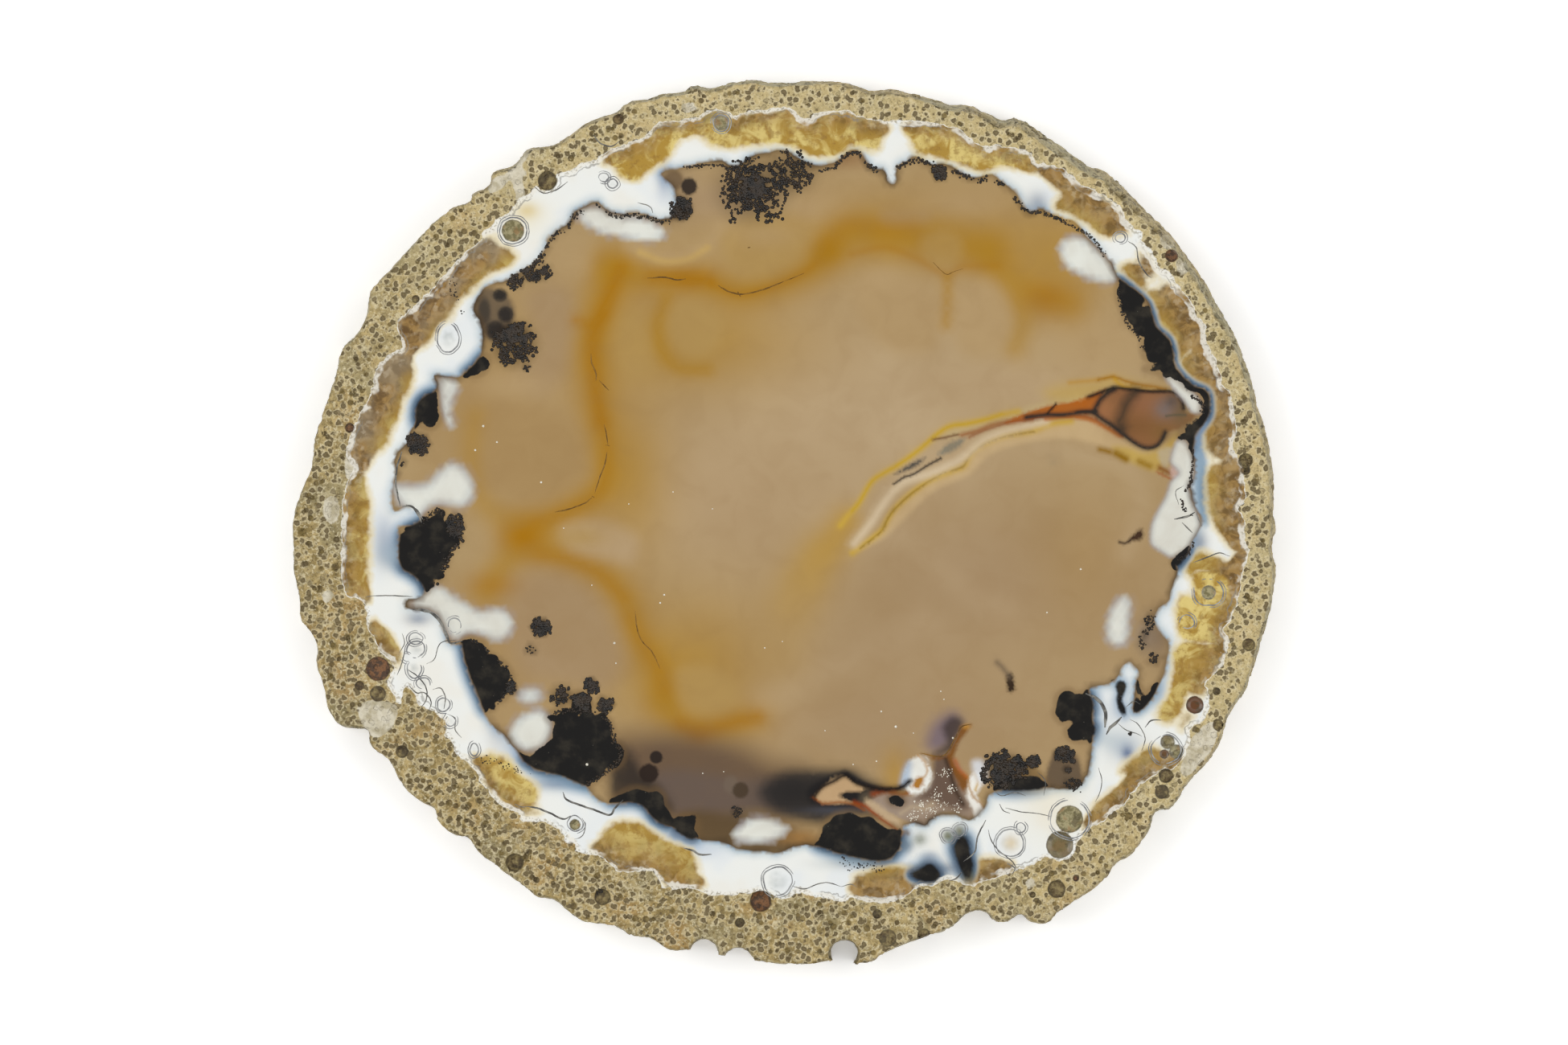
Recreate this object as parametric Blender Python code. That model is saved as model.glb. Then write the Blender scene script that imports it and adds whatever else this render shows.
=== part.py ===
"""A polished agate slice: one flat piece of stone sawn across a geode, lying on its back face.

Metres, +Z up. The origin is at the middle of the slice's box, on the back face that it rests on.
"""

import bmesh
import bpy
from mathutils import Vector

# The slice's real size
SLICE_WIDTH = 0.100
SLICE_THICKNESS = 0.006
EDGE_WEAR = 0.0003

# The photograph's outline of the slice, as places in a picture 1950 by 1300 pixels, y down,
# clockwise from the top. It wanders because the rim is the rough outer skin of the geode.
OUTLINE_PX = (
    (938, 96), (960, 100), (1000, 98), (1030, 98), (1061, 102), (1082, 110), (1108, 108), (1139, 114),
    (1171, 123), (1186, 128), (1200, 127), (1229, 137), (1249, 147), (1262, 143), (1280, 150), (1302, 166),
    (1327, 183), (1351, 200), (1380, 213), (1400, 230), (1429, 260), (1457, 288), (1482, 321), (1502, 350),
    (1518, 380), (1539, 415), (1551, 447), (1562, 478), (1567, 504), (1576, 530), (1584, 569), (1588, 604),
    (1587, 640), (1590, 657), (1585, 680), (1590, 704), (1587, 737), (1580, 772), (1571, 800), (1561, 835),
    (1549, 865), (1533, 887), (1523, 918), (1508, 945), (1482, 973), (1466, 998), (1457, 1009), (1439, 1012),
    (1433, 1030), (1420, 1052), (1405, 1068), (1390, 1076), (1380, 1091), (1368, 1103), (1343, 1120),
    (1318, 1138), (1302, 1151), (1282, 1149), (1269, 1140), (1255, 1149), (1235, 1147), (1228, 1138),
    (1207, 1137), (1195, 1146), (1183, 1157), (1151, 1168), (1118, 1180), (1098, 1190), (1084, 1199),
    (1060, 1200), (1034, 1197), (1016, 1201), (1000, 1202), (963, 1201), (938, 1197), (912, 1193), (891, 1190),
    (872, 1186), (858, 1184), (832, 1184), (807, 1169), (786, 1167), (765, 1155), (727, 1149), (710, 1140),
    (689, 1122), (668, 1118), (647, 1102), (618, 1081), (592, 1060), (580, 1044), (566, 1041), (542, 1022),
    (538, 1008), (524, 1000), (500, 980), (481, 946), (462, 932), (457, 922), (456, 911), (440, 908),
    (424, 905), (408, 888), (401, 858), (391, 822), (393, 809), (383, 786), (372, 772), (370, 744),
    (364, 719), (362, 677), (362, 647), (371, 614), (385, 580), (389, 545), (402, 505), (416, 462), (423, 432),
    (441, 415), (454, 390), (458, 362), (479, 338), (502, 313), (522, 291), (545, 268), (568, 253),
    (581, 249), (585, 240), (606, 229), (611, 213), (636, 204), (655, 183), (682, 179), (700, 171),
    (721, 155), (752, 141), (764, 138), (780, 124), (802, 121), (824, 114), (850, 111), (858, 104),
    (885, 106), (912, 99),
)
OUTLINE_STEPS = 3

# Three round gas pockets broken open at the lower edge: centre and radius in the same picture
BROKEN_POCKETS_PX = (
    (1050, 1188, 16),
    (918, 1201, 19),
    (875, 1188, 17),
)
POCKET_SIDES = 24
CUTTER_OVERSHOOT = 0.002

AGATE_BROWN = (0.33, 0.20, 0.08, 1.0)
POLISHED_ROUGHNESS = 0.2

PICTURE_LEFT = min(x for x, y in OUTLINE_PX)
PICTURE_RIGHT = max(x for x, y in OUTLINE_PX)
PICTURE_TOP = min(y for x, y in OUTLINE_PX)
PICTURE_BOTTOM = max(y for x, y in OUTLINE_PX)
METRES_PER_PIXEL = SLICE_WIDTH / (PICTURE_RIGHT - PICTURE_LEFT)
PICTURE_CENTRE = ((PICTURE_LEFT + PICTURE_RIGHT) / 2, (PICTURE_TOP + PICTURE_BOTTOM) / 2)


def place(x, y):
    """The place on the slice, in metres, of a place in the picture."""
    return Vector((x - PICTURE_CENTRE[0], PICTURE_CENTRE[1] - y, 0)) * METRES_PER_PIXEL


def clear_scene():
    for thing in list(bpy.data.objects):
        bpy.data.objects.remove(thing)


def new_collection(name):
    collection = bpy.data.collections.new(name)
    bpy.context.scene.collection.children.link(collection)
    return collection


def agate_material():
    """Banded chalcedony, lapped to a glassy polish."""
    material = bpy.data.materials.new("polished_agate")
    material.use_nodes = True
    shader = material.node_tree.nodes["Principled BSDF"]
    shader.inputs["Base Color"].default_value = AGATE_BROWN
    shader.inputs["Roughness"].default_value = POLISHED_ROUGHNESS
    shader.inputs["Metallic"].default_value = 0.0
    return material


def sawn_slab(collection):
    """The outline as a filled curve, thickened to the slice with its arrises eased, as a closed mesh."""
    curve = bpy.data.curves.new("slice_outline", "CURVE")
    curve.dimensions = "2D"
    curve.fill_mode = "BOTH"
    curve.extrude = SLICE_THICKNESS / 2 - EDGE_WEAR
    curve.bevel_depth = EDGE_WEAR
    curve.bevel_resolution = 0
    curve.offset = -EDGE_WEAR
    curve.resolution_u = OUTLINE_STEPS
    spline = curve.splines.new("BEZIER")
    spline.bezier_points.add(len(OUTLINE_PX) - 1)
    for point, (x, y) in zip(spline.bezier_points, OUTLINE_PX):
        point.co = place(x, y)
        point.handle_left_type = "AUTO"
        point.handle_right_type = "AUTO"
    spline.use_cyclic_u = True
    outline = bpy.data.objects.new("slice_outline", curve)
    outline.location.z = SLICE_THICKNESS / 2
    collection.objects.link(outline)
    bpy.context.view_layer.update()

    graph = bpy.context.evaluated_depsgraph_get()
    mesh = bpy.data.meshes.new_from_object(outline.evaluated_get(graph))
    edit = bmesh.new()
    edit.from_mesh(mesh)
    bmesh.ops.remove_doubles(edit, verts=edit.verts, dist=0.00003)
    edit.to_mesh(mesh)
    edit.free()
    slab = bpy.data.objects.new("agate_slice", mesh)
    slab.matrix_world = outline.matrix_world.copy()
    collection.objects.link(slab)
    bpy.data.objects.remove(outline)
    return slab


def cut_broken_pockets(slab, collection):
    """Each pocket is a round bite that goes through the whole thickness."""
    for number, (x, y, radius) in enumerate(BROKEN_POCKETS_PX, start=1):
        bpy.ops.mesh.primitive_cylinder_add(
            vertices=POCKET_SIDES,
            radius=radius * METRES_PER_PIXEL,
            depth=SLICE_THICKNESS + 2 * CUTTER_OVERSHOOT,
            location=place(x, y) + Vector((0, 0, SLICE_THICKNESS / 2)),
        )
        cutter = bpy.context.object
        cutter.name = f"pocket_cutter_{number}"
        cutter.hide_render = True
        cutter.display_type = "WIRE"
        for owner in list(cutter.users_collection):
            owner.objects.unlink(cutter)
        collection.objects.link(cutter)
        cut = slab.modifiers.new(f"pocket_{number}", "BOOLEAN")
        cut.operation = "DIFFERENCE"
        cut.object = cutter


def main():
    clear_scene()
    stone = new_collection("agate_slice")
    cutters = new_collection("cutters")
    slab = sawn_slab(stone)
    slab.data.materials.append(agate_material())
    cut_broken_pockets(slab, cutters)


main()
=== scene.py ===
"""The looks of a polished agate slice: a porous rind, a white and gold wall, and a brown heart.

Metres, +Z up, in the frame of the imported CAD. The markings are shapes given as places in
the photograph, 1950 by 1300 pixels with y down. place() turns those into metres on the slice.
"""

import math

import bmesh
import bpy
import numpy as np
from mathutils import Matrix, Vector, geometry, kdtree, noise


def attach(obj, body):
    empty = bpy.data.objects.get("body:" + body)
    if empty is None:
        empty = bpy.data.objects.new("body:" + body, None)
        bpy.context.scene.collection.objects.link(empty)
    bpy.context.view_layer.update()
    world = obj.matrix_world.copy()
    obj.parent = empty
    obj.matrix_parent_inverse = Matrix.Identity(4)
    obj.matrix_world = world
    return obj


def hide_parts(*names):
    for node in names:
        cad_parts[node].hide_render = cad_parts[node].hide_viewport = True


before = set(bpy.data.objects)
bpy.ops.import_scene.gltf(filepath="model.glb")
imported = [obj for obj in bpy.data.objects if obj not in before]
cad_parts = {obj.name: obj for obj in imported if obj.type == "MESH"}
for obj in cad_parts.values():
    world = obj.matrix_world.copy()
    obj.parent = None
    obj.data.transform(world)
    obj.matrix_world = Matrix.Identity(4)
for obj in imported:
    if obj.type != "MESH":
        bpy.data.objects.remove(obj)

bl_info = {
    "name": "Agate Slice Builder",
    "version": (1, 0, 0),
    "blender": (4, 5, 0),
    "location": "View3D > Sidebar > Agate",
    "description": "Builds a polished agate slice on its CAD frame, with its lines, dendrites and stage",
    "category": "Object",
}

# Scale of the photograph, and the slice's thickness
PICTURE_WIDTH = 1950
PICTURE_HEIGHT = 1300
OUTLINE_LEFT = 362
OUTLINE_RIGHT = 1590
OUTLINE_TOP = 96
OUTLINE_BOTTOM = 1202
SLICE_WIDTH = 0.100
METRES_PER_PIXEL = SLICE_WIDTH / (OUTLINE_RIGHT - OUTLINE_LEFT)
CENTRE = ((OUTLINE_LEFT + OUTLINE_RIGHT) / 2, (OUTLINE_TOP + OUTLINE_BOTTOM) / 2)
THICKNESS = 0.006
EDGE_WEAR = 0.0003
FACE_DROP = 0.00003
FACE_Z = THICKNESS - FACE_DROP

# Colours seen on the slice, as sRGB
RIND_TAN = "#C2AC7E"
RIND_OLIVE = "#8C7A50"
RIND_GREY = "#8B8776"
RIND_PALE = "#E4DAC0"
PORE_BROWN_AND_SHADE = "#5E4E2B"
# Pore brown, which also stands for painted shade in the pits and dips of the rind
SKIN_BROWN = "#7F7352"
WALL_WHITE = "#EBECE7"
WALL_BLUE = "#7A9AB4"
WALL_NAVY = "#2E3F52"
GOLD_TONE = "#B98F35"
GOLD_DEEP = "#8A5F1E"
SMOKY = "#7E6650"
HEART_TAN = "#AE946A"
CELL_MILK = "#B9A17E"
CELL_SAND = "#B59B77"
CELL_TAN = "#B2966B"
CELL_ROSE = "#A58B69"
CELL_BROWN = "#A6885A"
CELL_HONEY = "#AF8F55"
VEIN_OCHRE = "#AB8437"
VEIN_GOLD = "#A87C20"
VEIN_AMBER = "#A57006"
MASS_BLACK = "#1D1C1B"
MASS_BROWN = "#35312A"
SPECK_WHITE = "#E9E2CF"
VESICLE_OLIVE = "#5F5841"
VESICLE_RUST = "#4A3523"

# Boundary between the rind and the wall, clockwise from the top
RIND_EDGE = (
    (748, 193), (760, 187), (775, 181), (790, 176), (802, 171), (812, 160), (822, 153), (850, 149),
    (866, 146), (879, 141), (892, 138), (906, 140), (915, 146), (926, 140), (950, 138), (977, 134),
    (988, 139), (996, 146), (1006, 147), (1016, 141), (1050, 138), (1062, 143), (1090, 150), (1120, 150),
    (1157, 153), (1175, 158), (1190, 160), (1200, 166), (1207, 175), (1220, 181), (1250, 183), (1278, 189),
    (1284, 198), (1291, 205), (1300, 204), (1325, 213), (1337, 222), (1346, 231), (1370, 241), (1386, 253),
    (1396, 263), (1400, 273), (1410, 283), (1420, 291), (1419, 300), (1429, 308), (1436, 320), (1441, 333),
    (1451, 337), (1466, 356), (1483, 380), (1488, 393), (1498, 403), (1499, 424), (1508, 440), (1515, 460),
    (1520, 480), (1529, 491), (1535, 520), (1537, 536), (1532, 549), (1534, 561), (1545, 583), (1547, 600),
    (1548, 620), (1540, 634), (1547, 645), (1547, 670), (1552, 686), (1545, 710), (1542, 730), (1535, 755),
    (1528, 774), (1520, 783), (1526, 796), (1522, 820), (1506, 842), (1497, 852), (1503, 866), (1503, 882),
    (1496, 896), (1480, 905), (1478, 925), (1470, 943), (1458, 957), (1446, 956), (1432, 966), (1408, 985),
    (1400, 998), (1385, 1008), (1372, 1020), (1350, 1034), (1340, 1046), (1335, 1062), (1318, 1070), (1302, 1064),
    (1290, 1072), (1255, 1085), (1225, 1095), (1205, 1101), (1190, 1096), (1176, 1094), (1160, 1101), (1140, 1104),
    (1125, 1115), (1100, 1123), (1078, 1121), (1060, 1117), (1045, 1120), (1028, 1117), (1000, 1112), (985, 1113),
    (975, 1119), (960, 1112), (945, 1108), (915, 1113), (885, 1112), (870, 1108), (855, 1102), (840, 1105),
    (825, 1102), (817, 1088), (808, 1082), (780, 1084), (765, 1080), (748, 1065), (730, 1062), (719, 1059),
    (714, 1049), (703, 1045), (699, 1034), (675, 1022), (650, 1020), (644, 1009), (622, 1000), (608, 983),
    (600, 974), (594, 961), (578, 946), (568, 937), (563, 922), (555, 913), (554, 898), (535, 882),
    (520, 877), (516, 863), (507, 853), (500, 861), (497, 876), (488, 862), (482, 849), (489, 835),
    (486, 820), (473, 810), (466, 795), (458, 778), (454, 755), (445, 743), (431, 740), (427, 722),
    (425, 690), (426, 650), (428, 620), (433, 600), (440, 583), (432, 568), (433, 553), (440, 530),
    (455, 505), (463, 484), (470, 456), (486, 441), (500, 432), (497, 415), (495, 401), (505, 391),
    (525, 373), (545, 352), (565, 329), (585, 311), (599, 300), (601, 289), (612, 282), (622, 271),
    (632, 266), (640, 257), (647, 246), (660, 241), (668, 232), (675, 238), (688, 233), (695, 217),
    (710, 212), (722, 204), (738, 200),
)
HEART_EDGE = (
    (541, 468), (556, 469), (570, 470), (581, 462), (591, 452), (598, 442), (601, 425), (599, 405),
    (592, 390), (590, 379), (596, 368), (603, 358), (617, 353), (630, 349), (642, 342), (655, 334),
    (668, 324), (678, 311), (682, 299), (692, 289), (706, 279), (714, 266), (723, 259), (742, 251),
    (752, 260), (766, 266), (776, 268), (786, 264), (800, 267), (813, 272), (826, 273), (836, 269),
    (841, 256), (840, 239), (834, 227), (822, 216), (838, 211), (858, 207), (874, 203), (897, 200),
    (908, 207), (919, 207), (930, 198), (941, 193), (968, 188), (980, 190), (992, 197), (1005, 204),
    (1022, 207), (1040, 202), (1049, 194), (1057, 188), (1067, 188), (1074, 197), (1082, 208), (1093, 212),
    (1100, 213), (1103, 226), (1109, 230), (1115, 225), (1116, 209), (1128, 201), (1138, 196), (1148, 199),
    (1158, 205), (1180, 206), (1196, 216), (1210, 221), (1224, 219), (1233, 217), (1243, 224), (1260, 238),
    (1267, 248), (1273, 257), (1282, 264), (1294, 260), (1303, 264), (1322, 272), (1334, 275), (1345, 286),
    (1352, 297), (1366, 311), (1381, 326), (1388, 341), (1397, 352), (1412, 362), (1427, 376), (1432, 393),
    (1438, 409), (1452, 422), (1458, 438), (1459, 453), (1470, 468), (1484, 480), (1500, 487), (1503, 498),
    (1502, 515), (1494, 527), (1486, 538), (1483, 557), (1485, 575), (1485, 592), (1480, 605), (1483, 620),
    (1488, 635), (1494, 648), (1490, 660), (1482, 675), (1475, 688), (1463, 698), (1463, 712), (1456, 735),
    (1451, 748), (1441, 756), (1436, 768), (1438, 780), (1446, 792), (1453, 803), (1450, 825), (1443, 847),
    (1434, 865), (1422, 879), (1411, 885), (1411, 866), (1414, 847), (1417, 836), (1409, 826), (1402, 823),
    (1394, 830), (1390, 841), (1380, 849), (1364, 853), (1354, 860), (1357, 880), (1358, 905), (1357, 935),
    (1353, 957), (1346, 972), (1334, 980), (1300, 979), (1262, 976), (1243, 982), (1230, 988), (1225, 1001),
    (1219, 1011), (1206, 1019), (1190, 1014), (1174, 1012), (1160, 1018), (1150, 1026), (1136, 1023), (1123, 1027),
    (1120, 1040), (1117, 1055), (1107, 1065), (1090, 1068), (1066, 1065), (1045, 1060), (1025, 1054), (1002, 1050),
    (989, 1053), (970, 1059), (945, 1058), (920, 1055), (897, 1047), (870, 1044), (853, 1038), (838, 1029),
    (824, 1023), (812, 1015), (803, 1003), (792, 997), (772, 998), (755, 999), (743, 993), (730, 978),
    (712, 969), (688, 960), (668, 957), (652, 944), (642, 932), (628, 914), (612, 900), (603, 885),
    (594, 860), (584, 836), (578, 815), (576, 800), (566, 800), (557, 796), (551, 778), (544, 765),
    (530, 758), (514, 757), (505, 754), (508, 747), (520, 743), (529, 736), (526, 723), (514, 715),
    (502, 706), (496, 693), (498, 672), (497, 657), (512, 656), (524, 649), (521, 638), (511, 631),
    (500, 632), (491, 635), (488, 620), (489, 605), (493, 587), (491, 575), (496, 562), (507, 551),
    (511, 538), (517, 524), (521, 506), (530, 493), (541, 487), (545, 477),
)
MASSES = {
    "m1": ((525, 648), (530, 642), (540, 640), (546, 634), (551, 640), (553, 648), (561, 652), (566, 661), (573, 671),
           (566, 678), (560, 685), (556, 694), (554, 703), (549, 708), (549, 716), (545, 722), (539, 723), (531, 735),
           (522, 722), (510, 712), (500, 705), (497, 690), (498, 668), (506, 658)),
    "m2": ((576, 797), (586, 793), (593, 797), (600, 800), (606, 811), (622, 822), (631, 831), (637, 847), (630, 858),
           (628, 868), (618, 874), (612, 882), (603, 881), (597, 868), (588, 847), (580, 822)),
    "m3": ((680, 892), (690, 885), (702, 882), (710, 886), (722, 888), (738, 888), (748, 890), (758, 897), (762, 910),
           (763, 922), (771, 927), (774, 938), (771, 947), (764, 952), (756, 954), (751, 962), (742, 971), (731, 976),
           (718, 973), (700, 965), (680, 960), (662, 953), (650, 943), (660, 935), (674, 930), (684, 919), (688, 904)),
    "m3_knob": ((711, 868), (716, 863), (724, 862), (731, 868), (736, 878), (733, 888), (722, 890), (712, 884)),
    "m4": ((762, 996), (772, 987), (790, 981), (806, 984), (817, 983), (825, 990), (827, 1001), (834, 1014), (840, 1024),
           (828, 1026), (814, 1018), (803, 1004), (788, 997)),
    "dome": ((841, 1033), (841, 1022), (849, 1015), (860, 1016), (867, 1025), (866, 1036), (861, 1044), (849, 1038)),
    "m5": ((1018, 1051), (1020, 1040), (1026, 1027), (1036, 1017), (1048, 1012), (1060, 1011), (1071, 1016), (1086, 1018),
           (1096, 1026), (1104, 1030), (1112, 1029), (1119, 1037), (1120, 1049), (1115, 1059), (1106, 1067), (1088, 1070),
           (1066, 1066), (1044, 1060)),
    "m6": ((1392, 350), (1390, 366), (1394, 381), (1398, 392), (1404, 403), (1413, 413), (1421, 418), (1421, 430), (1423, 442),
           (1430, 449), (1440, 450), (1434, 455), (1424, 459), (1440, 463), (1447, 468), (1460, 469), (1474, 481), (1491, 493),
           (1495, 505), (1491, 518), (1480, 527), (1470, 537), (1468, 544), (1477, 551), (1482, 558), (1486, 540),
           (1496, 527), (1503, 515), (1503, 497), (1499, 487), (1484, 480), (1469, 468), (1459, 453), (1458, 438),
           (1452, 422), (1438, 409), (1432, 393), (1426, 378), (1412, 364), (1400, 354)),
    "m7": ((1314, 880), (1315, 868), (1322, 861), (1331, 860), (1337, 864), (1351, 862), (1357, 869), (1359, 882), (1357, 895),
           (1361, 905), (1359, 915), (1350, 921), (1339, 921), (1330, 917), (1327, 908), (1334, 900), (1330, 896), (1321, 898),
           (1314, 892), (1312, 886)),
    "leaf": ((1388, 852), (1395, 847), (1400, 853), (1397, 863), (1395, 872), (1399, 882), (1399, 891), (1393, 885),
             (1389, 872), (1390, 862)),
    "corner": ((1413, 850), (1419, 857), (1424, 863), (1432, 857), (1437, 856), (1432, 868), (1422, 880), (1411, 885), (1416, 868)),
    "tongue": ((1189, 1047), (1197, 1041), (1203, 1047), (1206, 1062), (1209, 1077), (1205, 1092), (1197, 1085),
               (1191, 1070), (1187, 1056)),
    "low_blob": ((1133, 1088), (1145, 1081), (1155, 1075), (1165, 1081), (1169, 1090), (1160, 1096), (1145, 1095)),
    "m0": ((520, 503), (529, 493), (540, 489), (543, 496), (545, 507), (547, 516), (543, 527), (535, 532), (525, 530), (518, 521)),
    "m0b": ((580, 465), (590, 455), (598, 446), (604, 443), (607, 450), (603, 460), (594, 466)),
    "wedge": ((1459, 699), (1468, 690), (1478, 684), (1473, 694), (1465, 703)),
    "m8": ((1238, 979), (1242, 968), (1256, 964), (1272, 966), (1288, 966), (1300, 974), (1292, 981), (1262, 983)),
    "m9": ((750, 926), (762, 922), (773, 930), (776, 942), (768, 953), (754, 955)),
    "pocket": ((1105, 993), (1112, 990), (1122, 992), (1124, 998), (1117, 1001), (1108, 1000)),
}
GOLD = {
    "left_upper": ((499, 412), (511, 396), (532, 378), (552, 358), (569, 340), (588, 322), (603, 311), (618, 306), (632, 311),
                   (641, 320), (630, 331), (612, 338), (598, 349), (583, 361), (571, 373), (561, 392), (547, 404),
                   (537, 419), (523, 432), (506, 431)),
    "left_mid": ((472, 457), (487, 446), (504, 445), (514, 459), (511, 480), (503, 497), (497, 517), (489, 532), (481, 548),
                 (470, 563), (459, 577), (445, 571), (437, 556), (443, 537), (456, 510), (466, 486)),
    "left_low": ((430, 612), (444, 600), (456, 606), (459, 640), (458, 700), (455, 733), (440, 740), (430, 732), (427, 690), (429, 650)),
    "left_tip": ((470, 783), (480, 786), (488, 795), (493, 812), (482, 813), (472, 801)),
    "top_left": ((764, 196), (778, 186), (800, 178), (817, 166), (842, 158), (848, 168), (838, 184), (826, 198), (808, 214),
                 (790, 224), (776, 220), (766, 210)),
    "top": ((868, 156), (900, 160), (930, 152), (958, 152), (984, 145), (1000, 158), (1030, 152), (1060, 150), (1083, 158),
            (1095, 166), (1093, 183), (1080, 186), (1060, 181), (1046, 188), (1030, 196), (1008, 193), (985, 183),
            (960, 179), (930, 183), (905, 184), (882, 176)),
    "top_link": ((828, 160), (846, 150), (868, 144), (890, 146), (888, 172), (866, 166), (846, 172)),
    "top_right": ((1133, 170), (1144, 160), (1180, 165), (1202, 172), (1222, 186), (1252, 190), (1274, 190), (1283, 203),
                  (1272, 209), (1252, 205), (1236, 209), (1214, 213), (1198, 205), (1168, 196), (1142, 189)),
    "right_a": ((1304, 214), (1324, 222), (1342, 236), (1352, 250), (1372, 262), (1390, 274), (1386, 292), (1366, 292),
                (1352, 278), (1330, 268), (1312, 258), (1318, 240), (1306, 228)),
    "right_b": ((1394, 331), (1406, 325), (1418, 330), (1424, 348), (1424, 362), (1410, 352), (1400, 345)),
    "right_c": ((1428, 364), (1446, 364), (1466, 378), (1484, 388), (1491, 404), (1487, 424), (1476, 440), (1464, 452),
                (1458, 440), (1462, 424), (1444, 412), (1436, 398), (1440, 386)),
    "right_d": ((1468, 450), (1486, 436), (1504, 438), (1514, 462), (1520, 486), (1512, 490), (1494, 480), (1478, 468)),
    "right_e": ((1506, 496), (1518, 486), (1528, 500), (1534, 524), (1530, 550), (1524, 566), (1506, 566), (1499, 548), (1500, 522)),
    "right_f": ((1503, 586), (1516, 578), (1534, 580), (1542, 600), (1541, 640), (1546, 664), (1534, 680), (1520, 668),
                (1508, 650), (1503, 620)),
    "right_g": ((1478, 700), (1494, 686), (1510, 690), (1528, 700), (1543, 694), (1546, 706), (1536, 740), (1522, 736),
                (1514, 716), (1494, 712), (1478, 716)),
    "right_h": ((1468, 742), (1484, 744), (1484, 728), (1480, 714), (1500, 708), (1530, 714), (1534, 740), (1526, 762),
                (1516, 790), (1500, 800), (1474, 796), (1464, 776)),
    "right_i": ((1464, 804), (1484, 798), (1512, 806), (1512, 826), (1498, 844), (1480, 862), (1470, 884), (1456, 898),
                (1440, 894), (1450, 870), (1458, 840)),
    "right_j": ((1392, 960), (1408, 944), (1424, 930), (1442, 936), (1464, 954), (1448, 960), (1430, 966), (1408, 986),
                (1398, 1000), (1378, 1012), (1358, 1022), (1364, 1000), (1380, 985), (1394, 978), (1404, 962)),
    "bottom_a": ((600, 944), (614, 940), (636, 948), (652, 966), (668, 984), (664, 998), (644, 998), (626, 982), (610, 962)),
    "bottom_b": ((746, 1042), (762, 1026), (784, 1022), (812, 1034), (836, 1048), (858, 1056), (868, 1076), (862, 1094),
                 (838, 1092), (822, 1076), (800, 1072), (776, 1072), (756, 1060)),
    "bottom_c": ((1064, 1092), (1082, 1084), (1100, 1080), (1128, 1082), (1160, 1098), (1140, 1104), (1126, 1114),
                 (1100, 1121), (1080, 1118), (1070, 1106)),
    "bottom_d": ((1214, 1070), (1236, 1066), (1246, 1074), (1238, 1086), (1222, 1090), (1210, 1084)),
}
CLOUDS = {
    "lens": ((718, 268), (738, 257), (765, 268), (803, 273), (822, 284), (828, 292), (820, 298), (800, 300), (770, 294), (745, 289)),
    "left": ((488, 604), (505, 604), (530, 602), (545, 588), (560, 577), (576, 582), (588, 600), (587, 618), (574, 630),
             (556, 628), (540, 628), (528, 636), (520, 644), (500, 628)),
    "left_low": ((520, 742), (532, 732), (548, 730), (562, 740), (578, 750), (596, 760), (612, 757), (628, 760), (638, 774),
                 (632, 790), (618, 797), (600, 790), (582, 788), (566, 796), (556, 785), (540, 762), (512, 756)),
    "speck": ((645, 864), (655, 857), (668, 858), (673, 866), (664, 873), (650, 872)),
    "ball": ((640, 898), (655, 888), (672, 884), (683, 892), (686, 906), (682, 920), (672, 932), (655, 934), (642, 926), (634, 912)),
    "eye": ((912, 1040), (918, 1030), (932, 1020), (952, 1018), (968, 1024), (980, 1032), (968, 1042), (950, 1047), (925, 1047)),
    "bean": ((1318, 308), (1324, 298), (1335, 294), (1350, 298), (1366, 312), (1380, 328), (1390, 344), (1380, 352),
             (1358, 348), (1336, 338), (1322, 326)),
    "right": ((1385, 752), (1396, 742), (1406, 748), (1404, 770), (1402, 795), (1394, 802), (1380, 800), (1376, 786), (1378, 768)),
    "streak": ((1448, 468), (1462, 468), (1476, 480), (1488, 492), (1494, 502), (1492, 514), (1482, 512), (1474, 500), (1460, 484)),
    "right_up": ((1462, 552), (1470, 546), (1480, 556), (1484, 572), (1484, 594), (1478, 606), (1482, 622), (1488, 638),
                 (1492, 656), (1484, 672), (1474, 686), (1460, 694), (1444, 686), (1432, 676), (1432, 655), (1440, 636),
                 (1450, 618), (1456, 600), (1466, 588), (1456, 574)),
    "wisp": ((546, 470), (562, 472), (570, 482), (564, 494), (560, 510), (564, 526), (558, 530), (550, 510), (548, 490)),
    "flame": ((1013, 990), (1022, 980), (1034, 970), (1050, 964), (1060, 972), (1080, 979), (1070, 984), (1052, 985),
              (1044, 990), (1060, 999), (1040, 1000), (1022, 999)),
}
RINGS = ((557, 420, 13, 18), (751, 221, 6, 6), (762, 229, 6, 6), (897, 153, 10, 10), (638, 287, 17, 17), (517, 795, 9, 7), (517, 808, 11, 10),
         (515, 832, 9, 11), (565, 778, 8, 9), (967, 1096, 18, 18), (1256, 1049, 17, 17), (1269, 1030, 6, 6), (1503, 737, 19, 17),
         (1476, 773, 9, 9), (1330, 1019, 24, 24), (1393, 296, 6, 6), (715, 1025, 10, 10),
         (526, 850, 9, 7), (552, 877, 8, 9), (560, 897, 6, 7), (590, 932, 5, 8), (506, 818, 5, 5), (1179, 1040, 8, 8), (1193, 1033, 8, 8),
         (1450, 932, 18, 18))
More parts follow.
